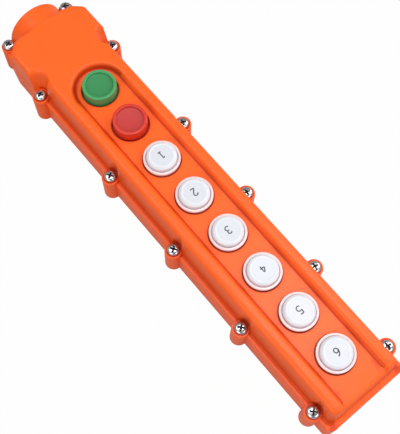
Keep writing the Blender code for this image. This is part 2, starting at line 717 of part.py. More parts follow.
def plunger_mesh(name):
    """Collar under the cap on a stem with a slot for the contact bridge."""
    profile = [
        (0.0, COLLAR_TOP_Z),
        (COLLAR_RADIUS, COLLAR_TOP_Z),
        (COLLAR_RADIUS, COLLAR_LOW_Z),
        (STEM_RADIUS, COLLAR_LOW_Z),
        (STEM_RADIUS, STEM_LOW_Z),
        (0.0, STEM_LOW_Z),
    ]
    half_width = BRIDGE_WIDTH / 2.0 + SEAT_GAP
    half_height = BRIDGE_THICKNESS / 2.0 + SEAT_GAP
    slot = box_mesh("bridge_slot", (-STEM_RADIUS - OVERCUT, -half_width, BRIDGE_Z - half_height),
                    (STEM_RADIUS + OVERCUT, half_width, BRIDGE_Z + half_height))
    mesh = carve(name, turned_mesh("stem", profile, 2 * COIL_STEPS), [], [slot])
    smooth(mesh)
    return mesh


def bridge_mesh(name):
    """Moving contact bar with a round contact tip under each end."""
    half_length = BRIDGE_LENGTH / 2.0
    bar = box_mesh("bridge_bar", (-half_length, -BRIDGE_WIDTH / 2.0, BRIDGE_Z - BRIDGE_THICKNESS / 2.0),
                   (half_length, BRIDGE_WIDTH / 2.0, BRIDGE_Z + BRIDGE_THICKNESS / 2.0))
    reach = half_length - CONTACT_INSET
    tips = drums_mesh("contact_tips", [(-reach, 0.0), (reach, 0.0)], CONTACT_RADIUS,
                      BRIDGE_Z - BRIDGE_THICKNESS / 2.0 - CONTACT_HEIGHT, BRIDGE_Z, SMALL_STEPS)
    return carve(name, bar, [tips], [])


def spring_mesh(name):
    """Open coil from the contact block's top to the plunger's collar."""
    low_z = BLOCK_TOP_Z + SEAT_GAP + SPRING_WIRE_RADIUS
    high_z = COLLAR_LOW_Z - SEAT_GAP - SPRING_WIRE_RADIUS
    count = int(SPRING_TURNS * COIL_STEPS) + 1
    curve = bpy.data.curves.new(name, "CURVE")
    curve.dimensions = "3D"
    curve.bevel_depth = SPRING_WIRE_RADIUS
    curve.bevel_resolution = 2
    curve.use_fill_caps = True
    spline = curve.splines.new("POLY")
    spline.points.add(count - 1)
    for index, point in enumerate(spline.points):
        share = index / (count - 1)
        angle = 2.0 * math.pi * SPRING_TURNS * share
        x = SPRING_RADIUS * math.cos(angle)
        y = SPRING_RADIUS * math.sin(angle)
        point.co = (x, y, low_z + (high_z - low_z) * share, 1.0)
    item = bpy.data.objects.new(name, curve)
    CUTTERS.objects.link(item)
    mesh = applied_mesh(item)
    bpy.data.objects.remove(item, do_unlink=True)
    shape = bmesh.new()
    shape.from_mesh(mesh)
    bmesh.ops.remove_doubles(shape, verts=shape.verts, dist=0.00001)
    bmesh.ops.recalc_face_normals(shape, faces=shape.faces)
    shape.to_mesh(mesh)
    shape.free()
    smooth(mesh)
    return mesh


def make_buttons():
    tall = tall_cap_mesh("tall_cap")
    red = tall.copy()
    domed = domed_cap_mesh("domed_cap")
    plunger = plunger_mesh("plunger")
    bridge = bridge_mesh("contact_bridge")
    spring = spring_mesh("return_spring")
    caps = [("cap_green", tall, GREEN), ("cap_red", red, RED)]
    for number in range(1, BUTTON_COUNT - TALL_BUTTONS + 1):
        caps.append((f"cap_white_{number}", domed, WHITE))
    for index, (name, mesh, material) in enumerate(caps):
        number = index + 1
        axis = bpy.data.objects.new(f"button_axis_{number}", None)
        PARTS.objects.link(axis)
        axis.location = (0.0, button_y(index), 0.0)
        place(name, mesh, material, parent=axis)
        place(f"plunger_{number}", plunger, NATURAL, parent=axis)
        place(f"contact_bridge_{number}", bridge, BRASS, parent=axis)
        place(f"return_spring_{number}", spring, ZINC, parent=axis)


def contact_block_mesh(name):
    """Insulating block for two buttons, with a bore for each stem and a window for each bridge."""
    half_length = BUTTON_PITCH - BLOCK_SPACING / 2.0
    half_width = BLOCK_WIDTH / 2.0
    body = box_mesh("block_body", (-half_width, -half_length, BLOCK_LOW_Z),
                    (half_width, half_length, BLOCK_TOP_Z), BLOCK_EDGE)
    stems = [(0.0, -BUTTON_PITCH / 2.0), (0.0, BUTTON_PITCH / 2.0)]
    bores = drums_mesh("stem_bores", stems, STEM_RADIUS + RUNNING_GAP, BLOCK_LOW_Z - OVERCUT,
                       BLOCK_TOP_Z + OVERCUT, 2 * COIL_STEPS)
    half_window = BRIDGE_WIDTH / 2.0 + WINDOW_MARGIN
    windows = [box_mesh(f"bridge_window_{number}", (-half_width - OVERCUT, y - half_window, WINDOW_LOW_Z),
                        (half_width + OVERCUT, y + half_window, WINDOW_HIGH_Z))
               for number, (x, y) in enumerate(stems)]
    hole = drums_mesh("block_screw_hole", [(0.0, 0.0)], SMALL_SCREW_RADIUS + RUNNING_GAP,
                      BLOCK_LOW_Z - OVERCUT, BLOCK_TOP_Z + OVERCUT, SMALL_STEPS)
    return carve(name, body, [], [bores, *windows, hole])


def block_y(index):
    return ROW_MIDDLE_Y + (index - (BUTTON_COUNT // 2 - 1) / 2.0) * 2.0 * BUTTON_PITCH


def make_contact_blocks():
    block = contact_block_mesh("contact_block")
    length = BLOCK_TOP_Z + SEAT_GAP - RAIL_LOW_Z
    screw = screw_mesh("block_screw", SMALL_SCREW_HEAD_RADIUS, SMALL_SCREW_HEAD_HEIGHT,
                       SMALL_SCREW_RADIUS, length)
    for index in range(BUTTON_COUNT // 2):
        place(f"contact_block_{index + 1}", block, BLACK, (0.0, block_y(index), 0.0))
        place(f"block_screw_{index + 1}", screw, ZINC, (0.0, block_y(index), BLOCK_TOP_Z + SEAT_GAP))


def make_mounting_rail():
    half_length = BUTTON_COUNT * BUTTON_PITCH / 2.0 + RAIL_END
    half_width = RAIL_WIDTH / 2.0
    strip = box_mesh("rail_strip", (-half_width, ROW_MIDDLE_Y - half_length, RAIL_LOW_Z),
                     (half_width, ROW_MIDDLE_Y + half_length, RAIL_TOP_Z))
    places = [(0.0, block_y(index)) for index in range(BUTTON_COUNT // 2)] + pillar_places()
    holes = drums_mesh("rail_holes", places, SMALL_SCREW_RADIUS + RUNNING_GAP,
                       RAIL_LOW_Z - OVERCUT, RAIL_TOP_Z + OVERCUT, SMALL_STEPS)
    place("mounting_rail", carve("mounting_rail", strip, [], [holes]), ZINC)
    screw = screw_mesh("rail_screw", SMALL_SCREW_HEAD_RADIUS, SMALL_SCREW_HEAD_HEIGHT,
                       SMALL_SCREW_RADIUS, RAIL_SCREW_LENGTH)
    for number, (x, y) in enumerate(pillar_places(), start=1):
        place(f"rail_screw_{number}", screw, ZINC, (x, y, RAIL_TOP_Z + SEAT_GAP))


make_rear_cover()
make_gasket()
make_cable_bush()
make_front_cover()
make_cover_screws()
make_mounting_rail()
make_contact_blocks()
make_buttons()
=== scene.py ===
import math

import bmesh
import bpy
import numpy as np
from mathutils import Matrix, Vector


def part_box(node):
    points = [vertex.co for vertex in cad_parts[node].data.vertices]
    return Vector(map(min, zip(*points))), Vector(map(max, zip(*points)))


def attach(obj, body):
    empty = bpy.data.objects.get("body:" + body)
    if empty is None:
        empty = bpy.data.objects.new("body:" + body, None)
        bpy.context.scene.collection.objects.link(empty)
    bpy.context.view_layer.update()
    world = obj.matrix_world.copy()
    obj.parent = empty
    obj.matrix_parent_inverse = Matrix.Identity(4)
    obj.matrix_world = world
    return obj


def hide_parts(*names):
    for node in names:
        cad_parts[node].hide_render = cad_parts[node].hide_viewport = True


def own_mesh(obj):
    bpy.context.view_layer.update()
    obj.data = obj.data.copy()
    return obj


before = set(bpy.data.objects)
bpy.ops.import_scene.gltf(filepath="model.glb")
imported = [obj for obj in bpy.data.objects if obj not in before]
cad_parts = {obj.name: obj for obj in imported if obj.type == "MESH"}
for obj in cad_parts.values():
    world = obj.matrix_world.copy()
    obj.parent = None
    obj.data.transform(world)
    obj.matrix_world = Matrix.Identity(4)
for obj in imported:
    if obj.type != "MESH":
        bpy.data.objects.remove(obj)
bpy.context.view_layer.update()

# The hoist pendant switch of the frame, dressed for its product photo.
# Lengths in this script are millimetres; meshes are scaled to metres when they are made.
mm = 0.001
mergeWithin = 0.002 * mm  # points of one skin that lie nearer than this become one


# Helpers for outlines and surfaces

def arcLine(x, y, radius, start, end, count):
    # points on the circle about (x, y), from angle start to angle end in degrees
    return [(x + radius * math.cos(a), y + radius * math.sin(a))
            for a in np.radians(np.linspace(start, end, count))]


def roundedLine(points, radii, steps=6):
    # open line through the points; each inner corner becomes an arc of its radius
    nearlyStraight = math.radians(89.5)  # half angle from which a corner stays a plain point
    made = [np.array(points[0], float)]
    for before, here, after, radius in zip(points[:-2], points[1:-1], points[2:], radii):
        here = np.array(here, float)
        back = np.array(before, float) - here
        on = np.array(after, float) - here
        back /= np.linalg.norm(back)
        on /= np.linalg.norm(on)
        half = math.acos(max(-1.0, min(1.0, float(back @ on)))) / 2
        if radius <= 0 or half > nearlyStraight:
            made.append(here)
            continue
        reach = radius / math.tan(half)
        middle = here + (back + on) / np.linalg.norm(back + on) * radius / math.sin(half)
        first = here + back * reach - middle
        last = here + on * reach - middle
        sweep = math.pi - 2 * half
        for share in np.linspace(0, 1, steps + 1):
            mix = (math.sin((1 - share) * sweep) * first + math.sin(share * sweep) * last) / math.sin(sweep)
            made.append(middle + mix)
    made.append(np.array(points[-1], float))
    return np.array(made)


def lineNormals(line):
    # unit normals on the left of an open line
    step = np.gradient(line, axis=0)
    step /= np.linalg.norm(step, axis=1, keepdims=True) + 1e-12
    return np.stack([-step[:, 1], step[:, 0]], -1)


def softMin(a, b, blend):
    # smooth minimum: minus blend times the log of the sum of exp(-value / blend)
    return -blend * np.log(np.exp(-a / blend) + np.exp(-b / blend))


def mirrorRows(rows):
    # the rows of one side followed by their mirror image in X, as one run from right to left
    other = rows[::-1].copy()
    other[..., 0] *= -1
    return np.concatenate([rows, other[1:]])


def atHeight(plan, height):
    # flat points (x, y) lifted to one height for all of them, or to a height each
    return np.concatenate([plan, np.broadcast_to(height, len(plan))[:, None]], 1)


def aboutZ(profile, place, turn):
    # profile of (radius, height) carried round the upright axis through place, to the angles in turn
    radius, height = np.array(profile, float).T
    return np.stack([radius * np.cos(turn)[:, None] + place[0], radius * np.sin(turn)[:, None] + place[1],
                     np.tile(height, (len(turn), 1))], -1)


def addObject(name, data):
    made = bpy.data.objects.new(name, data)
    bpy.context.scene.collection.objects.link(made)
    return made


class Skins:
    # collects closed skins, each one a grid of points, into one mesh
    def __init__(self, name):
        self.name = name
        self.work = bmesh.new()

    def add(self, points, wrapRows=False, wrapColumns=False, ends=False):
        # a grid of points becomes a skin of four-sided faces, closed round and capped as asked
        rows, columns = points.shape[:2]
        index = np.arange(rows * columns).reshape(rows, columns)
        down = np.roll(index, -1, 0) if wrapRows else index[1:]
        here = index if wrapRows else index[:-1]
        if wrapColumns:
            quads = np.stack([here, down, np.roll(down, -1, 1), np.roll(here, -1, 1)], -1)
        else:
            quads = np.stack([here[:, :-1], down[:, :-1], down[:, 1:], here[:, 1:]], -1)
        faces = quads.reshape(-1, 4).tolist()
        if ends:
            faces += [index[0].tolist(), index[-1][::-1].tolist()]
        mesh = bpy.data.meshes.new(self.name)
        mesh.from_pydata((points.reshape(-1, 3) * mm).tolist(), [], faces)
        skin = bmesh.new()
        skin.from_mesh(mesh)
        bmesh.ops.remove_doubles(skin, verts=skin.verts, dist=mergeWithin)
        bmesh.ops.dissolve_degenerate(skin, edges=skin.edges, dist=mergeWithin / 2)
        bmesh.ops.recalc_face_normals(skin, faces=skin.faces)
        skin.to_mesh(mesh)
        skin.free()
        self.work.from_mesh(mesh)
        bpy.data.meshes.remove(mesh)

    def turned(self, profile, height, steps, start=0.0, end=360.0):
        # profile of (radius, distance along Y) carried round an axis along +Y at the given height
        full = end - start == 360.0
        turn = np.radians(np.linspace(start, end, steps, endpoint=not full))[:, None]
        radius, along = np.array(profile, float).T
        across = radius * np.cos(turn)
        points = np.stack([across, along + 0 * across, radius * np.sin(turn) + height], -1)
        self.add(points, wrapRows=full, wrapColumns=True, ends=not full)

    def finish(self, body, nodes, material, angle=32.0):
        # the piece, smooth but for edges that turn by more than the angle
        mesh = bpy.data.meshes.new(self.name)
        self.work.to_mesh(mesh)
        self.work.free()
        mesh.shade_smooth()
        mesh.set_sharp_from_angle(angle=math.radians(angle))
        mesh.materials.append(material)
        piece = addObject(self.name, mesh)
        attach(piece, body)
        if nodes:
            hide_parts(*nodes)
        return piece


def storePaintedShade(piece, rule):
    # stores rule(points), from 0 to 1, as the piece's attribute of painted shade; points are in millimetres
    points = np.zeros(len(piece.data.vertices) * 3)
    piece.data.vertices.foreach_get("co", points)
    values = np.asarray(rule(points.reshape(-1, 3) / mm), np.float32)
    piece.data.attributes.new("paintedShade", "FLOAT", "POINT").data.foreach_set("value", values)


def nodeCentre(name):
    low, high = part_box(name)
    return np.array((low + high) / 2) / mm


# Shader maths

class Wire:
    # a socket that takes part in ordinary arithmetic
    def __init__(self, paint, socket):
        self.paint = paint
        self.socket = socket

    def math(self, operation, *others):
        return self.paint.math(operation, self, *others)

    def __add__(self, other):
        return self.math("ADD", other)

    def __radd__(self, other):
        return self.paint.math("ADD", other, self)

    def __sub__(self, other):
        return self.math("SUBTRACT", other)

    def __rsub__(self, other):
        return self.paint.math("SUBTRACT", other, self)

    def __mul__(self, other):
        return self.math("MULTIPLY", other)

    def __rmul__(self, other):
        return self.paint.math("MULTIPLY", other, self)

    def smooth(self, low, high):
        # 0 below low, 1 above high, smooth between
        return self.paint.node("ShaderNodeMapRange", {"interpolation_type": "SMOOTHSTEP"},
                               {"Value": self, "From Min": low, "From Max": high})


class Paint:
    # one material with its Principled shader
    def __init__(self, name, color, roughness, **constants):
        self.material = bpy.data.materials.new(name)
        self.material.use_nodes = True
        self.tree = self.material.node_tree
        self.shader = self.tree.nodes["Principled BSDF"]
        self.put("Base Color", (*color, 1.0))
        self.put("Roughness", roughness)
        for label, value in constants.items():
            self.put(label.replace("_", " "), value)
        self.place = Wire(self, self.tree.nodes.new("ShaderNodeTexCoord").outputs["Object"])

    def join(self, value, socket):
        if isinstance(value, Wire):
            self.tree.links.new(value.socket, socket)
        else:
            socket.default_value = value

    def put(self, label, value):
        self.join(value, self.shader.inputs[label])

    def node(self, kind, settings, sockets, output=0):
        made = self.tree.nodes.new(kind)
        for label, value in settings.items():
            setattr(made, label, value)
        for label, value in sockets.items():
            self.join(value, made.inputs[label])
        return Wire(self, made.outputs[output])

    def math(self, operation, *values):
        return self.node("ShaderNodeMath", {"operation": operation}, dict(enumerate(values)))

    def noise(self, scale, detail=2.0, place=None):
        return self.node("ShaderNodeTexNoise", {}, {"Vector": place or self.place, "Scale": scale,
                                                    "Detail": detail})

    def stretched(self, x, y, z):
        return self.node("ShaderNodeVectorMath", {"operation": "MULTIPLY"}, {0: self.place, 1: (x, y, z)})

    def axis(self, label):
        return self.node("ShaderNodeSeparateXYZ", {}, {"Vector": self.place}, label)

    def blend(self, factor, first, second):
        # colour mix from first to second; inputs 0, 6 and 7 of the node are the factor and the two colours
        made = self.tree.nodes.new("ShaderNodeMix")
        made.data_type = "RGBA"
        for socket, value in ((0, factor), (6, first), (7, second)):
            if not isinstance(value, Wire) and socket:
                value = (*value, 1.0)
            self.join(value, made.inputs[socket])
        return Wire(self, made.outputs[2])

    def mark(self):
        # a piece's own attribute of painted shade: 1 where the painted shade is full
        return self.node("ShaderNodeAttribute", {"attribute_name": "paintedShade"}, {}, "Fac")

    def bump(self, height, distance):
        self.put("Normal", self.node("ShaderNodeBump", {}, {"Height": height, "Distance": distance}))


# Materials

plasticLook = {
    "cloudScale": 60.0, "cloudEdges": (0.35, 0.75), "cloudShare": 0.3, "cloudDepth": 0.15,
    "scuffScale": 900.0, "scuffStretch": (1.0, 0.08, 1.0), "scuffEdges": (0.62, 0.80), "scuffDepth": 0.15,
    "glossScale": 240.0, "glossSpread": 0.10, "peelScale": 9000.0, "peelShare": 0.35, "sagScale": 140.0,
}


def clouds(paint):
    # soft patches, 0 to a small share
    patches = paint.noise(plasticLook["cloudScale"], 3.0).smooth(*plasticLook["cloudEdges"])
    return patches * plasticLook["cloudShare"]


def moulded(name, color, roughness, relief=0.000004, paintedShadeColor=None, **constants):
    # moulded plastic: faint cloudy tint, uneven gloss, fine peel and a few hairline scuffs; a given shade
    # colour is painted shade, laid on by the piece's attribute
    look = plasticLook
    paint = Paint(name, color, roughness, **constants)
    tint = paint.blend(clouds(paint), color, tuple(value * (1 - look["cloudDepth"]) for value in color))
    # painted shade: the tint turns to the shade colour where the piece's attribute is 1
    if paintedShadeColor:
        tint = paint.blend(paint.mark(), tint, paintedShadeColor)
    paint.put("Base Color", tint)
    lengthwise = paint.stretched(*look["scuffStretch"])
    scuffs = paint.noise(look["scuffScale"], 2.0, lengthwise).smooth(*look["scuffEdges"])
    uneven = paint.noise(look["glossScale"], 4.0) - 0.5
    paint.put("Roughness", roughness + (uneven + scuffs) * look["glossSpread"])
    peel = paint.noise(look["peelScale"], 2.0)
    sag = paint.noise(look["sagScale"], 1.0)
    surface = peel * look["peelShare"] + sag * (1 - look["peelShare"])
    paint.bump(surface - scuffs * look["scuffDepth"], relief)
    return paint


# the orange's shade colour is painted shade for the covers' corners, hollows and hole rims
orange = moulded("orange_plastic", (1.0, 0.130, 0.016), 0.34, relief=0.0000015,
                 paintedShadeColor=(0.56, 0.032, 0.002), Specular_IOR_Level=0.22, Coat_Weight=0.04,
                 Coat_Roughness=0.16)
# the green and red shade colours are painted shade on the caps' sunken faces
green = moulded("green_plastic", (0.055, 0.330, 0.110), 0.34, paintedShadeColor=(0.034, 0.245, 0.078))
red = moulded("red_plastic", (0.660, 0.036, 0.016), 0.34, paintedShadeColor=(0.520, 0.038, 0.034))
white = moulded("milky_plastic", (0.75, 0.76, 0.80), 0.26, Specular_IOR_Level=0.3)
rubber = moulded("black_rubber", (0.018, 0.018, 0.019), 0.62, relief=0.00002)
nylon = moulded("natural_nylon", (0.66, 0.62, 0.52), 0.42)
phenolic = moulded("black_phenolic", (0.026, 0.026, 0.028), 0.40)
ink = moulded("grey_ink", (0.055, 0.052, 0.060), 0.45)

# the face tint is painted shade, the warm ring-side tint a painted reflection of the orange panel, the
# ring-foot tint a painted shadow where the ring meets the panel, and the seam tint painted shade in the
# groove
milkTint = {
    "plain": (0.75, 0.76, 0.80), "cloudy": (0.69, 0.70, 0.75), "face": (0.67, 0.68, 0.73),
    "ringWarmReflection": (0.88, 0.70, 0.69), "ringFootShadow": (0.28, 0.07, 0.04), "seam": (0.42, 0.36, 0.45),
    "faceMark": 0.3, "ringSideZ": (45.90, 47.20), "ringFootZ": (42.40, 45.20),
}


def tintMilky(paint):
    # white cap: painted shade makes the dished face greyer, a painted warm reflection of the orange panel
    # tints the ring, a painted shadow darkens the ring down its side and painted shade darkens the seam
    # inside the ring; the cap's mark is faceMark on the face and 1 in the seam
    height = paint.axis("Z") * (1 / mm)
    paintedShade = paint.mark()
    tint = paint.blend(clouds(paint), milkTint["plain"], milkTint["cloudy"])
    tint = paint.blend(paintedShade.smooth(0.05, milkTint["faceMark"]), tint, milkTint["face"])
    tint = paint.blend(height.smooth(*milkTint["ringSideZ"]), milkTint["ringWarmReflection"], tint)
    tint = paint.blend(height.smooth(*milkTint["ringFootZ"]), milkTint["ringFootShadow"], tint)
    paint.put("Base Color", paint.blend(paintedShade.smooth(0.5, 1.0), tint, milkTint["seam"]))


tintMilky(white)

platingLook = {
    "lineScale": 3000.0, "lineStretch": (1.0, 1.0, 0.2), "lineRough": 0.10, "lineDepth": 0.000003,
    "dullScale": 400.0, "dullEdges": (0.45, 0.75), "dullShare": 0.5, "dullLevel": 0.72, "dullRough": 0.12,
    "recessShade": (0.05, 0.045, 0.05), "recessRough": 0.25,
}


def plated(name, color, roughness):
    # plated metal: bright, with turning marks, faint clouds of dull plating and painted shade in the
    # recesses
    look = platingLook
    paint = Paint(name, color, roughness, Metallic=1.0)
    lines = paint.noise(look["lineScale"], 3.0, paint.stretched(*look["lineStretch"]))
    dull = paint.noise(look["dullScale"], 3.0).smooth(*look["dullEdges"])
    dullColor = tuple(value * look["dullLevel"] for value in color)
    plating = paint.blend(dull * look["dullShare"], color, dullColor)
    # painted shade: recesses marked by the piece's attribute go dark
    paintedShade = paint.mark()
    paint.put("Base Color", paint.blend(paintedShade, plating, look["recessShade"]))
    paint.put("Roughness", roughness + dull * look["dullRough"] + (lines - 0.5) * look["lineRough"]
              + paintedShade * look["recessRough"])
    paint.bump(lines, look["lineDepth"])
    return paint


zinc = plated("zinc_plating", (0.66, 0.67, 0.68), 0.22)
springSteel = plated("spring_steel", (0.50, 0.50, 0.51), 0.30)
brass = plated("stamped_brass", (0.72, 0.48, 0.17), 0.28)
print("materials made")


# Sizes of the covers, in the frame's own places

cover = {
    "partingZ": 23.25, "partingEdge": 0.12, "gap": 0.3, "flangeTopZ": 25.05, "flangeEdge": 0.5,
    "earTopZ": 27.75, "earStartZ": 0.8, "earRadius": 6.8, "earEdge": 0.6, "topZ": 46.5,
    "panelTopZ": 42.3, "panelUnderZ": 39.5, "footY": -197.75, "endY": 197.75, "halfWidth": 35.7,
    "footCorner": 5.0, "backEdge": 2.0, "floorZ": 3.0, "crest": 4.0, "draft": 2.7, "wallRoot": 1.6,
    "rootHalfWidth": 32.3, "rootFootY": -193.55, "footRound": 2.6, "sideEndY": 130.0,
    "headHalfWidth": 36.5, "headWallX": 36.2, "headStartY": 150.0, "headCornerY": 174.25,
    "headBevel": (27.7, 181.75), "shoulderX": 19.75, "shoulderY": 183.25,
    "recessHalfWidth": 19.0, "recessDraft": 2.6, "recessEdge": 1.7, "recessRoot": 1.2,
    "firstButtonY": 106.25, "pitch": 38.0, "buttons": 8, "holeRadius": 14.35, "holeRim": 0.35,
    "scoopRadius": 6.1, "scoopBlend": 0.16, "pocketRadius": 9.7, "pocketLean": 2.5, "pocketZ": 25.75,
    "pocketRise": 22.75, "innerX": 27.6, "headInnerX": 22.8, "innerFootY": -188.85,
    "headCeilingZ": 43.3, "cavityStepY": 131.85, "rearInnerX": 30.9, "rearInnerFootY": -192.95,
}
neck = {
    "radius": 23.25, "startY": 169.75, "boreRadius": 18.0, "earRadius": 6.0, "earEndY": 196.95,
    "earBevel": [(33.2, 189.15), (30.5, 194.2)], "earEndX": 28.4, "faceX": 19.0, "faceY": 196.15,
    "throatRadius": 15.65, "seatY": 179.75, "seatRadius": 18.95, "lipY": 195.75, "lipRadius": 17.25,
    "lipEdge": 0.5, "rim": 1.0, "slack": 0.03,
}

coverScrews = [nodeCentre(f"cover_screw_{number:02d}")[:2] for number in range(1, 13)]
sideScrews, neckScrews = coverScrews[:10], coverScrews[10:]
screwX = abs(sideScrews[0][0])
# the dark ring round each head is painted shadow on the ear top
screwSeat = 5.2  # radius of the dark ring round each head
scoopYs = sorted({round(float(y), 2) for x, y in sideScrews})[:4]
pocketY = max(float(y) for x, y in sideScrews)


def boreRun(y):
    # points of the end face at y, from the bore's edge to the middle plane
    turn = np.radians(np.linspace(90, 0, 16))
    return np.stack([neck["boreRadius"] * np.sin(turn), np.full(16, y)], -1)


def housingStations():
    # places along the right side where the housing's section is taken, from the foot to the middle plane
    near = np.sin(np.radians(np.linspace(-90, 90, 27))) * (cover["scoopRadius"] + 0.4)
    startY = cover["rootFootY"] + cover["draft"] + cover["footCorner"] + 0.25
    closest = 0.12
    rows = [np.linspace(startY, cover["sideEndY"] + 2, 80)] + [y + near for y in scoopYs]
    side = np.unique(np.round(np.concatenate(rows), 3))
    side = side[(side >= startY) & (side < cover["sideEndY"])]
    side = side[np.concatenate([[True], np.diff(side) > closest])]
    corner = [(cover["headWallX"], cover["headStartY"]), (cover["headWallX"], cover["headCornerY"]),
              cover["headBevel"], (cover["shoulderX"], cover["shoulderY"]),
              (neck["boreRadius"], cover["shoulderY"])]
    head = roundedLine(corner, (4.5, 4.5, 6.0))
    head = np.concatenate([head[:-1], boreRun(cover["shoulderY"])])
    normals = lineNormals(head)
    return {"foot": np.linspace(0, 1, 9)[:-1], "corner": np.radians(np.linspace(-90, 0, 10)),
            "side": side, "pocket": np.linspace(0, 1, 48), "head": head[1:], "headNormals": normals[1:]}


def quarterRound(share):
    # how far a quarter circle of radius 1 has turned away from its tangent, from 0 at 0 to 1 at 1
    return 1 - np.sqrt(1 - np.clip(share, 0, 1) ** 2)


def wallDraft(z):
    # how far the outer wall has leaned in at height z
    return cover["draft"] * (z - cover["flangeTopZ"]) / (cover["topZ"] - cover["flangeTopZ"])


def wallLean(z):
    # the draft, less the round at the wall's root
    root = cover["wallRoot"]
    return wallDraft(z) - root * quarterRound(1 - (z - cover["flangeTopZ"]) / root)


def recessWidth(z, root=0.0):
    # half width of the recess at height z: its drafted wall, rounded at the top and, by root, at the panel
    rise = np.clip((z - cover["panelTopZ"]) / (cover["topZ"] - cover["panelTopZ"]), 0, 1)
    high = quarterRound((z - cover["topZ"]) / cover["recessEdge"] + 1)
    low = quarterRound(1 - (z - cover["panelTopZ"]) / cover["recessRoot"])
    return cover["recessHalfWidth"] + cover["recessDraft"] * rise + cover["recessEdge"] * high - root * low


def housingWall(stations, z, inset):
    # the housing's outer wall: at height z each station's point on the drafted outline, moved in by inset;
    # scoops and pockets are circles about the screw axes that bite into it
    counts = [len(stations[key]) for key in ("foot", "corner", "side", "pocket", "head")]
    parts = np.split(np.arange(sum(counts)), np.cumsum(counts)[:-1])
    draw = wallDraft(z)
    slope = wallLean(z) + inset
    half = cover["rootHalfWidth"] - slope
    footY = cover["rootFootY"] + slope
    headX = cover["headWallX"] - inset
    out = np.zeros(z.shape + (2,))

    rows = parts[0]
    inner = recessWidth(z[rows])
    cornerX = cover["rootHalfWidth"] - draw[rows] - cover["footCorner"]
    out[rows, :, 0] = inner + stations["foot"][:, None] * (cornerX - inner)
    out[rows, :, 1] = footY[rows]

    rows = parts[1]
    radius = cover["footCorner"] + draw[rows] - slope[rows]
    turn = stations["corner"][:, None]
    out[rows, :, 0] = cover["rootHalfWidth"] - draw[rows] - cover["footCorner"] + radius * np.cos(turn)
    out[rows, :, 1] = cover["rootFootY"] + draw[rows] + cover["footCorner"] + radius * np.sin(turn)

    rows = parts[2]
    wall = half[rows]
    for centreY in scoopYs:
        away = np.abs(stations["side"] - centreY)[:, None]
        bite = np.sqrt(np.maximum(cover["scoopRadius"] ** 2 - away ** 2, 0))
        scoop = np.where(away < cover["scoopRadius"], screwX - bite, 1e3)  # far out beside the scoop
        wall = softMin(wall, scoop, cover["scoopBlend"])
    out[rows, :, 0] = wall
    out[rows, :, 1] = stations["side"][:, None]

    rows = parts[3]
    rise = np.clip((z[rows] - cover["pocketZ"]) / cover["pocketRise"], 0, 1)
    radius = cover["scoopRadius"] + (cover["pocketRadius"] - cover["scoopRadius"]) * rise
    radius = radius + inset[rows] * 0.5
    centreY = pocketY + cover["pocketLean"] * rise
    start = 2 * np.pi - np.arccos(np.clip((half[rows] - screwX) / radius, -1, 1))
    end = np.arccos(np.clip((headX[rows] - screwX) / radius, -1, 1))
    turn = start + stations["pocket"][:, None] * (end - start)
    out[rows, :, 0] = screwX + radius * np.cos(turn)
    out[rows, :, 1] = centreY + radius * np.sin(turn)

    rows = parts[4]
    out[rows] = stations["head"][:, None, :] + stations["headNormals"][:, None, :] * inset[rows][..., None]
    return out


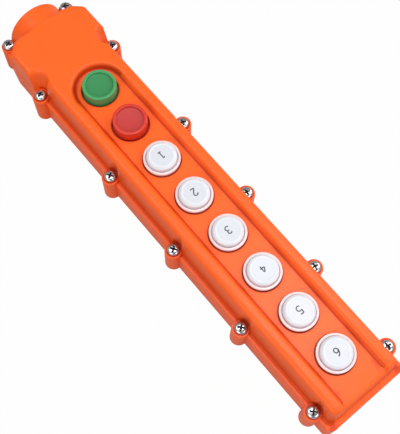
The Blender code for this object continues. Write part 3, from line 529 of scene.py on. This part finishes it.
def makeFrontHousing(skins):
    # one closed section carried along the housing's right side to the middle plane, then mirrored:
    # outer wall, crest, plateau, recess wall, underside and inner wall
    stations = housingStations()
    count = sum(len(stations[key]) for key in ("foot", "corner", "side", "pocket", "head"))
    planZ = 30.0  # the height whose outline the inner faces follow
    reference = housingWall(stations, np.full((count, 1), planZ), np.zeros((count, 1)))[:, 0]
    bottom = np.full(count, cover["partingZ"] + cover["gap"])
    isBore = (reference[:, 1] > cover["shoulderY"] - 0.1) & (reference[:, 0] < neck["boreRadius"])
    arch = np.sqrt(np.maximum(neck["boreRadius"] ** 2 - reference[:, 0] ** 2, 0))
    bottom[isBore] = np.maximum(bottom[isBore], cover["partingZ"] + arch[isBore])

    # the crest's round fades where the neck comes up to the plateau
    neckZ = cover["partingZ"] + np.sqrt(np.maximum(neck["radius"] ** 2 - reference[:, 0] ** 2, 0))
    crestAt = np.where(reference[:, 1] > cover["shoulderY"] - 0.1,
                       np.clip(cover["topZ"] - neckZ, 0.06, cover["crest"]), cover["crest"])[:, None]
    bendZ = cover["topZ"] - crestAt
    lift = np.concatenate([[0], cover["wallRoot"] * (1 - np.cos(np.radians(np.linspace(0, 90, 7))))])
    wallZ = cover["flangeTopZ"] + lift
    wallZ[0] = 0
    wallZ = np.maximum(wallZ, bottom[:, None] + 0.01 * np.arange(len(lift)))
    share = np.linspace(0, 1, 8)[1:]
    wallZ = np.concatenate([wallZ, wallZ[:, -1:] + (bendZ - wallZ[:, -1:]) * share], 1)
    turn = np.radians(np.linspace(0, 90, 10))[1:]
    z = np.concatenate([wallZ, bendZ + crestAt * np.sin(turn)], 1)
    inset = np.concatenate([0 * wallZ, crestAt * (1 - np.cos(turn))], 1)
    outer = np.concatenate([housingWall(stations, z, inset), z[..., None]], -1)

    # where each station meets the recess edge: straight along the side, then round the first button
    footRun, lateRun, lateShare, roundRun = 1.4, 40.0, 0.45, 20.0
    startY = cover["rootFootY"] + cover["draft"] + cover["crest"]
    straight = cover["firstButtonY"] - startY
    full = straight + roundRun * np.pi / 2
    sideCount = len(stations["foot"]) + len(stations["corner"])
    run = np.zeros(count)
    run[:sideCount] = np.linspace(0, footRun, sideCount)
    onSide = np.arange(sideCount, sideCount + len(stations["side"]))
    run[onSide] = np.maximum(stations["side"] - startY, footRun + 0.1)
    late = run[onSide] > straight - lateRun
    lateY = run[onSide][late]
    top = lateY[0] + (full - lateY[0]) * lateShare
    run[onSide[late]] = lateY[0] + (lateY - lateY[0]) / (lateY[-1] - lateY[0]) * (top - lateY[0])
    rest = count - onSide[-1] - 1
    run[onSide[-1] + 1:] = top + (full - top) * np.linspace(0, 1, rest + 1)[1:]

    def recessRow(height, drop=0.0):
        # the recess wall at one height; at the foot it starts on the outer wall's own face
        width = recessWidth(height, cover["recessRoot"] * np.clip((run - 2.5) / 2, 0, 1))
        over = cover["crest"] * quarterRound((height - cover["topZ"]) / cover["crest"] + 1)
        faceY = cover["rootFootY"] + wallDraft(height) + over
        turned = np.clip((run - straight) / roundRun, 0, np.pi / 2)
        x = np.where(run < straight, width, width * np.cos(turned))
        ease = np.clip(1 - run / 12, 0, 1)  # how much of the foot's slope a station still follows
        y = np.where(run < straight, startY + run + (faceY - startY) * ease,
                     cover["firstButtonY"] + width * np.sin(turned))
        return atHeight(np.stack([x, y], -1), height - drop)

    edge = cover["recessEdge"]
    root = cover["recessRoot"]
    recess = [recessRow(cover["topZ"] - edge + edge * share)
              for share in np.sin(np.radians(np.linspace(90, 0, 7)))]
    recess += [recessRow(cover["panelTopZ"] + root - root * share)
               for share in np.sin(np.radians(np.linspace(0, 90, 5)))]
    recess += [recessRow(cover["panelTopZ"], 1.0),
               recessRow(cover["panelTopZ"], cover["panelTopZ"] - cover["panelUnderZ"] - 0.02)]

    # the plateau runs from the crest to a line inside the pockets, and from there to the recess
    lineX, lineY = 23.7, 172.0
    crest = outer[:, -1]
    between = np.stack([np.minimum(crest[:, 0], lineX), np.minimum(crest[:, 1], lineY), crest[:, 2]], -1)
    plateau = [crest + (between - crest) * 0.08, between]
    plateau += [between + (recess[0] - between) * part for part in (0.5, 0.9)]

    isBody = reference[:, 1] < cover["cavityStepY"] + 2
    innerX = np.minimum(reference[:, 0] - 1.0, np.where(isBody, cover["innerX"], cover["headInnerX"]))
    innerX[isBore] = reference[isBore, 0]
    inner = np.stack([innerX, np.clip(reference[:, 1], cover["innerFootY"], neck["startY"])], -1)
    isHead = inner[:, 1] > cover["cavityStepY"]
    step = inner.copy()
    step[isHead, 1] = cover["cavityStepY"]
    ceiling = np.where(isHead, cover["headCeilingZ"], cover["panelUnderZ"] + 0.02)
    under = [atHeight(step, cover["panelUnderZ"] + 0.02), atHeight(step, ceiling),
             atHeight(inner, ceiling), atHeight(inner, bottom)]
    section = np.stack([*outer.transpose(1, 0, 2), *plateau, *recess, *under], 1)
    skins.add(mirrorRows(section), wrapColumns=True, ends=True)


def makePanel(skins):
    # one square or round-ended cell about each button hole; its section runs from the cell's edge to the
    # hole's rim, down the hole and back along the underside
    wide = cover["recessHalfWidth"] + 0.9
    hole, rim = cover["holeRadius"], cover["holeRim"]
    top, under = cover["panelTopZ"], cover["panelUnderZ"]
    turn = np.radians(np.arange(0, 360, 3.0))
    sine, cosine = np.sin(turn), np.cos(turn)
    half = cover["pitch"] / 2
    for index in range(cover["buttons"]):
        centreY = cover["firstButtonY"] - index * cover["pitch"]
        reach = np.minimum(wide / np.maximum(np.abs(cosine), 1e-9), half / np.maximum(np.abs(sine), 1e-9))
        if index == 0:
            reach = np.where(sine > 0, wide, reach)
        reach = np.stack([reach * cosine, reach * sine], -1)
        rows = [(share, None, top) for share in (1.0, 0.72, 0.4)]
        rows += [(None, hole + rim + out, top) for out in (0.6, 0.02)]
        rows += [(None, *point) for point in arcLine(hole + rim, top - rim, rim, 90, 180, 5)]
        rows += [(None, hole, under), (1.0, None, under)]
        grid = []
        for share, radius, height in rows:
            ring = np.stack([cosine, sine], -1) * (radius or hole + 0.6)
            if share:
                ring = ring * (1 - share) + reach * share
            grid.append(atHeight(ring + [0, centreY], height))
        skins.add(np.stack(grid, 1), wrapRows=True, wrapColumns=True)


def makeFootWall(skins):
    # the low end wall between the two ridges; the section is the wall's outer face, its round and the panel
    lastY = cover["firstButtonY"] - (cover["buttons"] - 0.5) * cover["pitch"]
    soft = cover["footRound"]
    low = cover["partingZ"] + cover["gap"]
    top, under = cover["panelTopZ"], cover["panelUnderZ"]
    bendZ = top - soft
    bendY = cover["rootFootY"] + wallLean(bendZ)
    rootZ = cover["flangeTopZ"] + cover["wallRoot"] * (1 - np.cos(np.radians(np.linspace(0, 90, 7))))
    line = [(cover["rootFootY"] + wallLean(z), z)
            for z in [low, *rootZ, *np.linspace(rootZ[-1], bendZ - 0.2, 8)[1:]]]
    line += arcLine(bendY + soft, bendZ, soft, 180, 90, 9)
    line += [(bendY + soft + 0.3, top), (lastY, top), (lastY, under), (cover["innerFootY"], under),
             (cover["innerFootY"], low)]
    line = np.array(line)
    xs = np.linspace(-cover["recessHalfWidth"], cover["recessHalfWidth"], 9)
    grid = np.zeros((len(xs), len(line), 3))
    grid[..., 0] = xs[:, None]
    grid[..., 1:] = line[None]
    skins.add(grid, wrapColumns=True, ends=True)


def coverLine():
    # the covers' common outline on the right side, from the foot to the end of the neck ears
    corner = (cover["halfWidth"] - cover["footCorner"], cover["footY"] + cover["footCorner"])
    line = [np.stack([np.linspace(0, corner[0], 6)[:-1], np.full(5, cover["footY"])], -1)]
    line.append(arcLine(*corner, cover["footCorner"], -90, 0, 10))
    ys = np.linspace(corner[1], pocketY, 40)[1:]
    line.append(np.stack([np.full(39, cover["halfWidth"]), ys], -1))
    head = [(cover["halfWidth"], pocketY), (cover["headHalfWidth"], pocketY + 3.4),
            (cover["headHalfWidth"], cover["headCornerY"]), *neck["earBevel"],
            (neck["earEndX"], neck["faceY"]), (neck["faceX"], neck["faceY"])]
    line.append(roundedLine(head, (1.0, 1.0, 3.0, 3.0, 1.5, 0.5))[1:])
    return np.concatenate(line)


flangeInside = {"headY": 172.0, "neckX": 20.0, "sideX": 28.7, "footY": -190.5, "endY": 190.0}


def makeFlange(skins):
    # flat flange of the front cover: a thin section carried along the covers' outline, whose inner edge
    # lies hidden under the housing
    outer = coverLine()
    normal = lineNormals(outer)
    inside = flangeInside
    across = np.minimum(outer[:, 0], inside["sideX"])
    across[outer[:, 1] > inside["headY"]] = inside["neckX"]
    inner = np.stack([across, np.clip(outer[:, 1], inside["footY"], inside["endY"])], -1)
    low = cover["partingZ"] + cover["gap"]
    edge = cover["flangeEdge"]
    top = cover["flangeTopZ"]
    seam = cover["partingEdge"]
    rows = [(seam, low), (0.0, low + seam), *arcLine(edge, top - edge, edge, 180, 90, 4), (edge + 0.2, top)]
    section = [atHeight(outer + normal * inset, z) for inset, z in rows]
    section += [atHeight(inner, z) for z in (top, low)]
    skins.add(mirrorRows(np.stack(section, 1)[::-1])[::-1], wrapColumns=True, ends=True)


def drum(skins, place, radius, low, high, lowEdge, highEdge, flatY=None):
    # upright round column with rounded rims and a ring about the screw's seat; flatY cuts it off square
    line = [(0.0, high), (screwSeat, high), (radius - highEdge - 0.1, high)]
    line += arcLine(radius - highEdge, high - highEdge, highEdge, 90, 0, 6)
    line += arcLine(radius - lowEdge, low + lowEdge, lowEdge, 0, -90, 6)
    line += [(0.0, low)]
    grid = aboutZ(line, place, np.linspace(0, 2 * np.pi, 57)[:-1])
    if flatY is not None:
        grid[..., 1] = np.minimum(grid[..., 1], flatY)
    skins.add(grid, wrapRows=True)


def neckHalf(skins, start, end):
    # half of the neck: its ring section carried round the cable's axis from start to end degrees
    startY, endY = neck["startY"], cover["endY"]
    outer = neck["radius"] - neck["slack"]
    rim = neck["rim"]
    line = [(neck["throatRadius"], startY), (neck["throatRadius"], neck["seatY"]),
            (neck["seatRadius"], neck["seatY"]), (neck["seatRadius"], neck["lipY"]),
            (neck["lipRadius"], neck["lipY"]), (neck["lipRadius"], endY - neck["lipEdge"]),
            (neck["lipRadius"] + neck["lipEdge"], endY), (outer - rim - 0.4, endY)]
    line += [(outer - rim + rim * math.sin(a), endY - rim + rim * math.cos(a))
             for a in np.radians([0, 22, 45, 67, 90])]
    line += [(outer, endY - rim - 0.5), (outer, startY)]
    skins.turned(line, cover["partingZ"], 73, start, end)


def makeEars(skins, low, high, lowEdge, highEdge):
    # the columns round the twelve screws; the two beside the neck are cut off square at its end
    for place in sideScrews:
        drum(skins, place, cover["earRadius"], low, high, lowEdge, highEdge)
    for place in neckScrews:
        drum(skins, place, neck["earRadius"], low, high, lowEdge, highEdge, neck["earEndY"])


frontCover = Skins("front_cover_shell")
makeFrontHousing(frontCover)
makePanel(frontCover)
makeFootWall(frontCover)
makeFlange(frontCover)
gapAngle = math.degrees(math.asin(cover["gap"] / neck["radius"]))
neckHalf(frontCover, gapAngle, 180 - gapAngle)
makeEars(frontCover, cover["partingZ"] + cover["gap"], cover["earTopZ"], cover["partingEdge"],
         cover["earEdge"])
frontShell = frontCover.finish("housing", ["front_cover"], orange.material)

shade = {
    "wallX": (28.5, 34.5), "wallEndY": 137, "wall": 0.7, "wallRise": 18,
    "recess": (17.7, 24), "recessFootY": -188, "root": 0.9, "rootRise": 1.3, "side": 0.35, "sideRise": 4,
    "end": 0.9, "endRise": 3, "scoop": 0.8, "scoopReach": 6.9, "scoopZ": 28, "scoopRise": 7,
}


def cornerShade(points):
    # painted shade: deeper orange stands in for the shade and bounce light where the cover's faces shine on
    # each other: low on the outer walls, at the foot of the recess wall, on the recess's round end, round
    # the screws, in a ring round each screw's seat and on the rims of the button holes
    across, along, height = np.abs(points[:, 0]), points[:, 1], points[:, 2]

    def fade(level, rise):
        # 1 at the level, 0 at rise above it
        return np.clip(1 - (height - level) / rise, 0, 1)

    panel = cover["panelTopZ"]
    isWall = (across > shade["wallX"][0]) & (across < shade["wallX"][1]) & (along < shade["wallEndY"])
    dark = shade["wall"] * isWall * fade(cover["flangeTopZ"], shade["wallRise"])

    middle = np.hypot(across, np.maximum(along - cover["firstButtonY"], 0))
    near, far = shade["recess"]
    isRecess = (middle > near) & (middle < far) & (along > shade["recessFootY"]) & (height > panel - 0.02)
    dark += shade["root"] * isRecess * fade(panel, shade["rootRise"]) * np.clip(middle - near, 0, 1)
    isSide = isRecess & (height > panel + 0.02)
    dark += shade["side"] * isSide * fade(panel, shade["sideRise"])
    isEnd = isSide & (along > cover["firstButtonY"])
    dark += shade["end"] * isEnd * fade(panel + 0.4 * shade["endRise"], shade["endRise"])

    for x, y in coverScrews:
        away = np.hypot(points[:, 0] - x, along - y)
        isScoop = (away < shade["scoopReach"]) & (height > shade["scoopZ"])
        dark += shade["scoop"] * isScoop * fade(shade["scoopZ"], shade["scoopRise"])
        # painted shadow: a dark ring on each ear top round the screw's seat
        dark += (away < screwSeat + 0.1) * (np.abs(height - cover["earTopZ"]) < 0.02)
    # painted shade on the rims of the button holes
    for index in range(cover["buttons"]):
        away = np.hypot(points[:, 0], along - cover["firstButtonY"] + index * cover["pitch"])
        isRim = away < cover["holeRadius"] + cover["holeRim"] + 0.05
        dark += isRim * (height > cover["panelUnderZ"] + 0.02)
    return np.clip(dark, 0, 1)


storePaintedShade(frontShell, cornerShade)
print("front cover made")


def makeRearShell(skins):
    # tray of the rear cover: from the middle of the back out to the rounded edge, up the wall,
    # over the parting land and down inside to the floor
    outer = np.concatenate([coverLine()[:-1], boreRun(neck["faceY"])])
    normal = lineNormals(outer)
    arch = np.sqrt(np.maximum(neck["boreRadius"] ** 2 - outer[:, 0] ** 2, 0))
    isBore = (outer[:, 1] > neck["faceY"] - 0.15) & (outer[:, 0] <= neck["boreRadius"])
    land = np.where(isBore, cover["partingZ"] - arch, cover["partingZ"])
    edge, seam = cover["backEdge"], cover["partingEdge"]
    rows = [(edge + 0.4, 0 * land)]
    rows += [(inset, 0 * land + height) for inset, height in arcLine(edge, edge, edge, -90, -180, 8)]
    rows += [(0.0, land * part + (edge + 0.4) * (1 - part)) for part in (0.0, 0.33, 0.66)]
    rows += [(0.0, land - seam), (seam, land)]
    section = [atHeight(outer + normal * inset, height) for inset, height in rows]
    innerX = np.where(isBore, outer[:, 0], np.minimum(outer[:, 0], cover["rearInnerX"]))
    innerY = np.clip(outer[:, 1], cover["rearInnerFootY"], neck["startY"])
    centreY = np.clip(outer[:, 1], -185.0, 165.0)  # the back is fanned out from this middle line
    zero = 0 * centreY
    floor = zero + cover["floorZ"]
    section += [np.stack([innerX, innerY, land], -1), np.stack([innerX, innerY, floor], -1),
                np.stack([zero, centreY, floor], -1), np.stack([zero, centreY, zero], -1)]
    section = np.stack(section, 1)
    skins.add(mirrorRows(section[::-1])[:-1], wrapRows=True, wrapColumns=True)


rearCover = Skins("rear_cover_shell")
makeRearShell(rearCover)
neckHalf(rearCover, 180, 360)
makeEars(rearCover, cover["earStartZ"], cover["partingZ"], cover["earEdge"], cover["partingEdge"])
rearCover.finish("housing", ["rear_cover"], orange.material)
print("rear cover made")


# Caps

capLook = {
    "radius": 13.25, "rimZ": 51.0, "rimWidth": 2.4, "sunkenZ": 48.9, "faceZ": 49.8, "faceRadius": 9.0,
    "dishRadius": 8.6, "dishDepth": 0.15, "domeRadius": 11.95, "domeFall": 1.3, "ringRadius": 14.05,
    "ringZ": 45.9, "seamDepth": 0.5, "flangeRadius": 15.5, "flangeZ": (37.7, 39.2), "ceilingZ": 47.8,
    "wall": 2.0,
}
capPaints = {"green": green, "red": red, "white": white}


def raisedLine():
    # profile of a raised cap from its middle outwards: sunken face, rim and side
    look = capLook
    inner = look["radius"] - look["rimWidth"]
    return roundedLine(
        [(0.0, look["sunkenZ"]), (inner - 0.5, look["sunkenZ"]), (inner, look["rimZ"]),
         (look["radius"], look["rimZ"]), (look["radius"], look["flangeZ"][1])], (0.5, 0.35, 0.8), 5)


def domedLine():
    # profile of a white cap from its middle outwards: dished face, dome, seam, flat ring and side
    look = capLook
    dishZ = look["faceZ"] - look["dishDepth"]
    seamZ = look["ringZ"] - look["seamDepth"]
    dome = look["domeRadius"]
    return roundedLine(
        [(0.0, dishZ), (look["dishRadius"] - 0.3, dishZ), (look["dishRadius"] + 0.3, look["faceZ"]),
         (look["faceRadius"] + 0.6, look["faceZ"]), (dome - 0.5, look["faceZ"] - look["domeFall"]),
         (dome, seamZ), (dome + 0.22, seamZ), (dome + 0.4, look["ringZ"]),
         (look["ringRadius"], look["ringZ"]), (look["ringRadius"], look["flangeZ"][1])],
        (0.6, 0.6, 1.2, 1.1, 0.0, 0.0, 0.15, 0.4), 6)


def makeCap(name, body):
    # the cap's profile, then its flange and hollow inside, carried round the cap's own axis
    look = capLook
    colour = name.split("_")[1]
    isWhite = colour == "white"
    centre = nodeCentre(name)
    low, high = look["flangeZ"]
    inside = (look["domeRadius"] if isWhite else look["radius"]) - look["wall"]
    hollow = [(look["flangeRadius"], high), (look["flangeRadius"], low), (inside, low),
              (inside, look["ceilingZ"]), (0.0, look["ceilingZ"])]
    line = np.concatenate([domedLine() if isWhite else raisedLine(), hollow])
    skins = Skins(name + "_shell")
    skins.add(aboutZ(line, centre, np.radians(np.arange(0, 360, 4.0))), wrapRows=True)
    cap = skins.finish(body, [name], capPaints[colour].material)
    edge = look["dishRadius"] if isWhite else look["radius"] - look["rimWidth"] - 0.2

    def capMark(points):
        # painted shade on the sunken face, and on a white cap in the seam too
        away = np.hypot(*(points - centre)[:, :2].T)
        face = (away < edge) & (points[:, 2] > look["ceilingZ"] + 0.2)
        if not isWhite:
            return face
        seam = (away > look["domeRadius"] - 0.05) & (away < look["domeRadius"] + 0.3)
        seam &= np.abs(points[:, 2] - look["ringZ"] + look["seamDepth"]) < 0.2
        return milkTint["faceMark"] * face + seam

    storePaintedShade(cap, capMark)


capNames = ["cap_green", "cap_red"] + [f"cap_white_{number}" for number in range(1, 7)]
capBodies = ["start_button", "stop_button"] + [f"command_{number}_button" for number in range(1, 7)]
for name, body in zip(capNames, capBodies):
    makeCap(name, body)
print("caps made")


# Plain numbers on the white caps, as thin inlays

strokes = {
    1: [[(-0.42, 0.58), (0.05, 1.0), (0.05, -1.0)], [(-0.4, -1.0), (0.5, -1.0)]],
    2: [[(-0.55, 0.55), (-0.45, 0.85), (-0.1, 1.0), (0.25, 0.95), (0.5, 0.7), (0.5, 0.4), (0.3, 0.05),
         (-0.55, -1.0), (0.6, -1.0)]],
    3: [[(-0.5, 0.75), (-0.2, 0.97), (0.15, 0.97), (0.48, 0.72), (0.48, 0.38), (0.2, 0.1), (-0.1, 0.06)],
        [(0.2, 0.1), (0.55, -0.2), (0.55, -0.65), (0.2, -0.97), (-0.2, -0.97), (-0.55, -0.7)]],
    4: [[(0.25, -1.0), (0.25, 1.0), (-0.6, -0.4), (0.62, -0.4)]],
    5: [[(0.5, 1.0), (-0.4, 1.0), (-0.5, 0.12), (-0.1, 0.28), (0.25, 0.22), (0.55, -0.1), (0.55, -0.55),
         (0.25, -0.92), (-0.15, -1.0), (-0.55, -0.75)]],
    6: [[(0.4, 0.95), (-0.05, 0.75), (-0.45, 0.2), (-0.55, -0.4), (-0.3, -0.9), (0.05, -1.0), (0.42, -0.85),
         (0.56, -0.45), (0.4, -0.02), (0.05, 0.12), (-0.3, 0.0), (-0.52, -0.35)]],
}
numberLook = {"halfHeight": 3.0, "halfLine": 0.42, "thickness": 0.05, "bend": 0.45, "sunk": 0.2}


def makeNumber(number, place, body):
    # each stroke is a flat band, halfLine to each side of its centre line, with its corners rounded;
    # the number is turned half round, so that it is read from the neck
    skins = Skins(f"number_{number}")
    width = numberLook["halfLine"]
    low = place[2] - numberLook["sunk"]
    top = place[2] + numberLook["thickness"]
    for stroke in strokes[number]:
        line = np.array(stroke) * numberLook["halfHeight"]
        line = roundedLine(line, [numberLook["bend"]] * (len(line) - 2), 4)
        normal = lineNormals(line)
        rows = []
        for side, z in ((width, low), (width, top - 0.01), (width * 0.9, top), (-width * 0.9, top),
                        (-width, top - 0.01), (-width, low)):
            rows.append(atHeight(np.array(place[:2]) - line - normal * side, z))
        skins.add(np.stack(rows, 1), wrapColumns=True, ends=True)
    skins.finish(body, [], ink.material)


for number in strokes:
    centre = nodeCentre(f"cap_white_{number}")
    dish = (centre[0], centre[1], capLook["faceZ"] - capLook["dishDepth"])
    makeNumber(number, dish, f"command_{number}_button")
print("numbers made")


# Cover screws: pan heads with a cross recess

screwLook = {
    "headRadius": 4.7, "headHeight": 2.95, "seatDrop": 3.0, "rim": 0.9, "roundness": 3.2, "shank": 2.2,
    "length": 21.9, "slot": 0.62, "slotEdge": 0.25, "reach": 2.7, "reachEdge": 0.35, "depth": 2.0,
    "spin": 47,
}


def softStep(value, edge, soft):
    # 1 below the edge, 0 above it, smooth over the width soft
    share = np.clip((edge - value) / soft + 0.5, 0, 1)
    return share * share * (3 - 2 * share)


def makeScrew(number):
    # head height falls off as a rounded pan; the cross is cut where the smaller of the turned
    # coordinates is inside the slot's half width and the larger one inside its reach; each screw's
    # cross is turned by spin degrees more than the last one's
    look = screwLook
    name = f"cover_screw_{number:02d}"
    centre = nodeCentre(name)
    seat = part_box(name)[1].z / mm - look["seatDrop"]
    radius = look["headRadius"]

    def topAt(away):
        # the rounded head's top at this distance from its middle
        fall = np.sqrt(np.clip(1 - (away / radius) ** look["roundness"], 0, 1))
        return seat + look["rim"] + (look["headHeight"] - look["rim"]) * fall

    turn = np.radians(np.arange(0, 360, 4.5))
    rings = np.concatenate([np.linspace(0, 0.72, 24), np.linspace(0.74, 1, 9)]) * radius
    r, a = np.meshgrid(rings, turn)
    spin = a + math.radians(number * look["spin"] % 90)
    across = np.abs(r * np.cos(spin))
    along = np.abs(r * np.sin(spin))
    arm = softStep(np.minimum(across, along), look["slot"], look["slotEdge"])
    arm *= softStep(np.maximum(across, along), look["reach"], look["reachEdge"])
    cut = arm * np.clip(1.15 - r / look["reach"] * 0.65, 0, 1) * look["depth"]
    head = np.stack([r * np.cos(a) + centre[0], r * np.sin(a) + centre[1], topAt(r) - cut], -1)
    tail = [(radius, seat + 0.2), (radius - 0.15, seat), (look["shank"], seat),
            (look["shank"], seat - look["length"] + 1), (0.0, seat - look["length"])]
    skins = Skins(name + "_shell")
    skins.add(np.concatenate([head, aboutZ(tail, centre, turn)], 1), wrapRows=True)
    screw = skins.finish("housing", [name], zinc.material, 40.0)

    def darkRule(points):
        # how far each point of the head lies below its rounded top, laid on as painted shade in the cross
        # recess
        away = np.hypot(*(points - centre)[:, :2].T)
        return np.clip((topAt(away) - points[:, 2] - 0.2) / 1.1, 0, 1) * (away < look["reach"] + 0.4)

    storePaintedShade(screw, darkRule)


for number in range(1, 13):
    makeScrew(number)
print("screws made")


# Rubber bush in the cable inlet

bushLook = {
    "outerRadius": 18.6, "startY": 180.1, "lipY": 195.4, "lipRadius": 16.9, "boreRadius": 11.5, "mouth": 1.4,
    "grooveYs": (193.0, 189.0, 185.0), "grooveHalf": 0.8, "grooveDepth": 0.6,
}


def makeBush():
    # ring section of the bush, with shallow gripping grooves in its bore, carried round the cable's axis
    look = bushLook
    start, end = look["startY"], cover["endY"] - 0.1
    outer, lip, bore = look["outerRadius"], look["lipRadius"], look["boreRadius"]
    half = look["grooveHalf"]
    line = [(outer, start), (outer, look["lipY"]), (lip, look["lipY"]), (lip, end - 0.3), (lip - 0.4, end),
            (bore + look["mouth"], end), (bore, end - 1.5)]
    for y in look["grooveYs"]:
        line += [(bore, y + half), (bore + look["grooveDepth"], y), (bore, y - half)]
    line += [(bore, start + 1.6), (bore + look["mouth"], start)]
    skins = Skins("cable_bush_shell")
    skins.turned(line, cover["partingZ"], 72)
    skins.finish("housing", ["cable_bush"], rubber.material)


makeBush()
print("bush made")


# Inner pieces keep their CAD shape and take a worked material

finishes = {"cover_gasket": rubber, "mounting_rail": zinc, "contact_block": phenolic, "block_screw": zinc,
            "rail_screw": zinc, "plunger": nylon, "contact_bridge": brass}
for name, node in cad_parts.items():
    for start, paint in finishes.items():
        if name.startswith(start):
            node.data.materials.clear()
            node.data.materials.append(paint.material)


def makeSpring(number):
    # the CAD spring's own coils, on a mesh of its own and left as they stand; the real coils close up
    # towards the contact block as the button goes down
    name = f"return_spring_{number}"
    skins = Skins(name + "_coils")
    skins.work.from_mesh(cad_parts[name].data)
    bmesh.ops.remove_doubles(skins.work, verts=skins.work.verts, dist=mergeWithin / 4)
    spring = skins.finish("housing", [name], springSteel.material, 60.0)
    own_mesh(spring)


for number, body in enumerate(capBodies, 1):
    makeSpring(number)
print("inner pieces finished")


# Floor, light and camera

studio = {  # the floor's half width in metres, the lens and sensor in millimetres
    "floorHalf": 6.0, "floorGrey": 0.45, "floorSeen": 0.98, "floorMirrored": 0.1,
    "skyTint": (0.96, 0.98, 1.0, 1), "skyStrength": 0.28, "lens": 67.91, "sensor": 36.0,
}
softboxes = {  # place, target and size in metres, and power in watts
    "top_softbox": ((-0.35, 0.45, 1.25), (0, 0, 0), (0.8, 0.8), 5.5),
    "right_softbox": ((1.1, -0.2, 0.9), (0, 0, 0.02), (0.8, 1.0), 8.5),
    "left_softbox": ((-1.0, -0.3, 0.6), (0, 0, 0.02), (0.7, 0.5), 4),
    "foot_softbox": ((0.25, -1.05, 0.75), (0, -0.1, 0.02), (0.9, 0.5), 4),
    "sheen_panel": ((0.28, 0.0, 1.35), (0, -0.1, 0.04), (0.3, 0.45), 4),
}
cameraPlace = Matrix((  # solved from the photo, in metres
    (0.76845847, 0.59372515, -0.23866719, -0.149885),
    (-0.63967277, 0.72268598, -0.26180856, -0.179407),
    (0.01703911, 0.35385791, 0.93514397, 0.60028),
    (0, 0, 0, 1)))


def makeFloor():
    # plain paper that the camera sees as white and that still takes the light's bounce
    half = studio["floorHalf"]
    mesh = bpy.data.meshes.new("floor")
    corners = [(-half, -half, 0), (half, -half, 0), (half, half, 0), (-half, half, 0)]
    mesh.from_pydata(corners, [], [(0, 1, 2, 3)])
    paint = Paint("floor_paper", (studio["floorGrey"],) * 3, 0.9)
    glow = paint.node("ShaderNodeEmission", {}, {"Color": (1, 1, 1, 1), "Strength": 1.0})
    seen = (paint.node("ShaderNodeLightPath", {}, {}, "Is Camera Ray") * studio["floorSeen"]
            + paint.node("ShaderNodeLightPath", {}, {}, "Is Glossy Ray") * studio["floorMirrored"])
    mixed = paint.node("ShaderNodeMixShader", {}, {
        0: seen, 1: Wire(paint, paint.shader.outputs["BSDF"]), 2: glow})
    paint.join(mixed, paint.tree.nodes["Material Output"].inputs["Surface"])
    mesh.materials.append(paint.material)
    addObject("floor", mesh)


def addSoftbox(name, place, target, size, power):
    light = bpy.data.lights.new(name, "AREA")
    light.shape = "RECTANGLE"
    light.size, light.size_y = size
    light.energy = power
    lamp = addObject(name, light)
    lamp.location = place
    lamp.rotation_mode = "QUATERNION"
    lamp.rotation_quaternion = (Vector(target) - Vector(place)).to_track_quat("-Z", "Y")


def makeSky():
    # a dim even sky for the object, and plain white behind the floor for the camera
    world = bpy.data.worlds.new("studio")
    bpy.context.scene.world = world
    world.use_nodes = True
    nodes, links = world.node_tree.nodes, world.node_tree.links
    background = nodes["Background"]
    background.inputs["Color"].default_value = studio["skyTint"]
    background.inputs["Strength"].default_value = studio["skyStrength"]
    backdrop = nodes.new("ShaderNodeBackground")
    backdrop.inputs["Color"].default_value = (1, 1, 1, 1)
    mixed = nodes.new("ShaderNodeMixShader")
    rays = nodes.new("ShaderNodeLightPath")
    links.new(rays.outputs["Is Camera Ray"], mixed.inputs["Fac"])
    links.new(background.outputs["Background"], mixed.inputs[1])
    links.new(backdrop.outputs["Background"], mixed.inputs[2])
    links.new(mixed.outputs["Shader"], nodes["World Output"].inputs["Surface"])


makeFloor()
for name, setting in softboxes.items():
    addSoftbox(name, *setting)
makeSky()

cameraData = bpy.data.cameras.new("camera")
cameraData.lens = studio["lens"]
cameraData.sensor_width = studio["sensor"]
camera = addObject("camera", cameraData)
camera.matrix_world = cameraPlace
bpy.context.scene.camera = camera
bpy.context.scene.view_settings.view_transform = "Standard"
print("studio set")
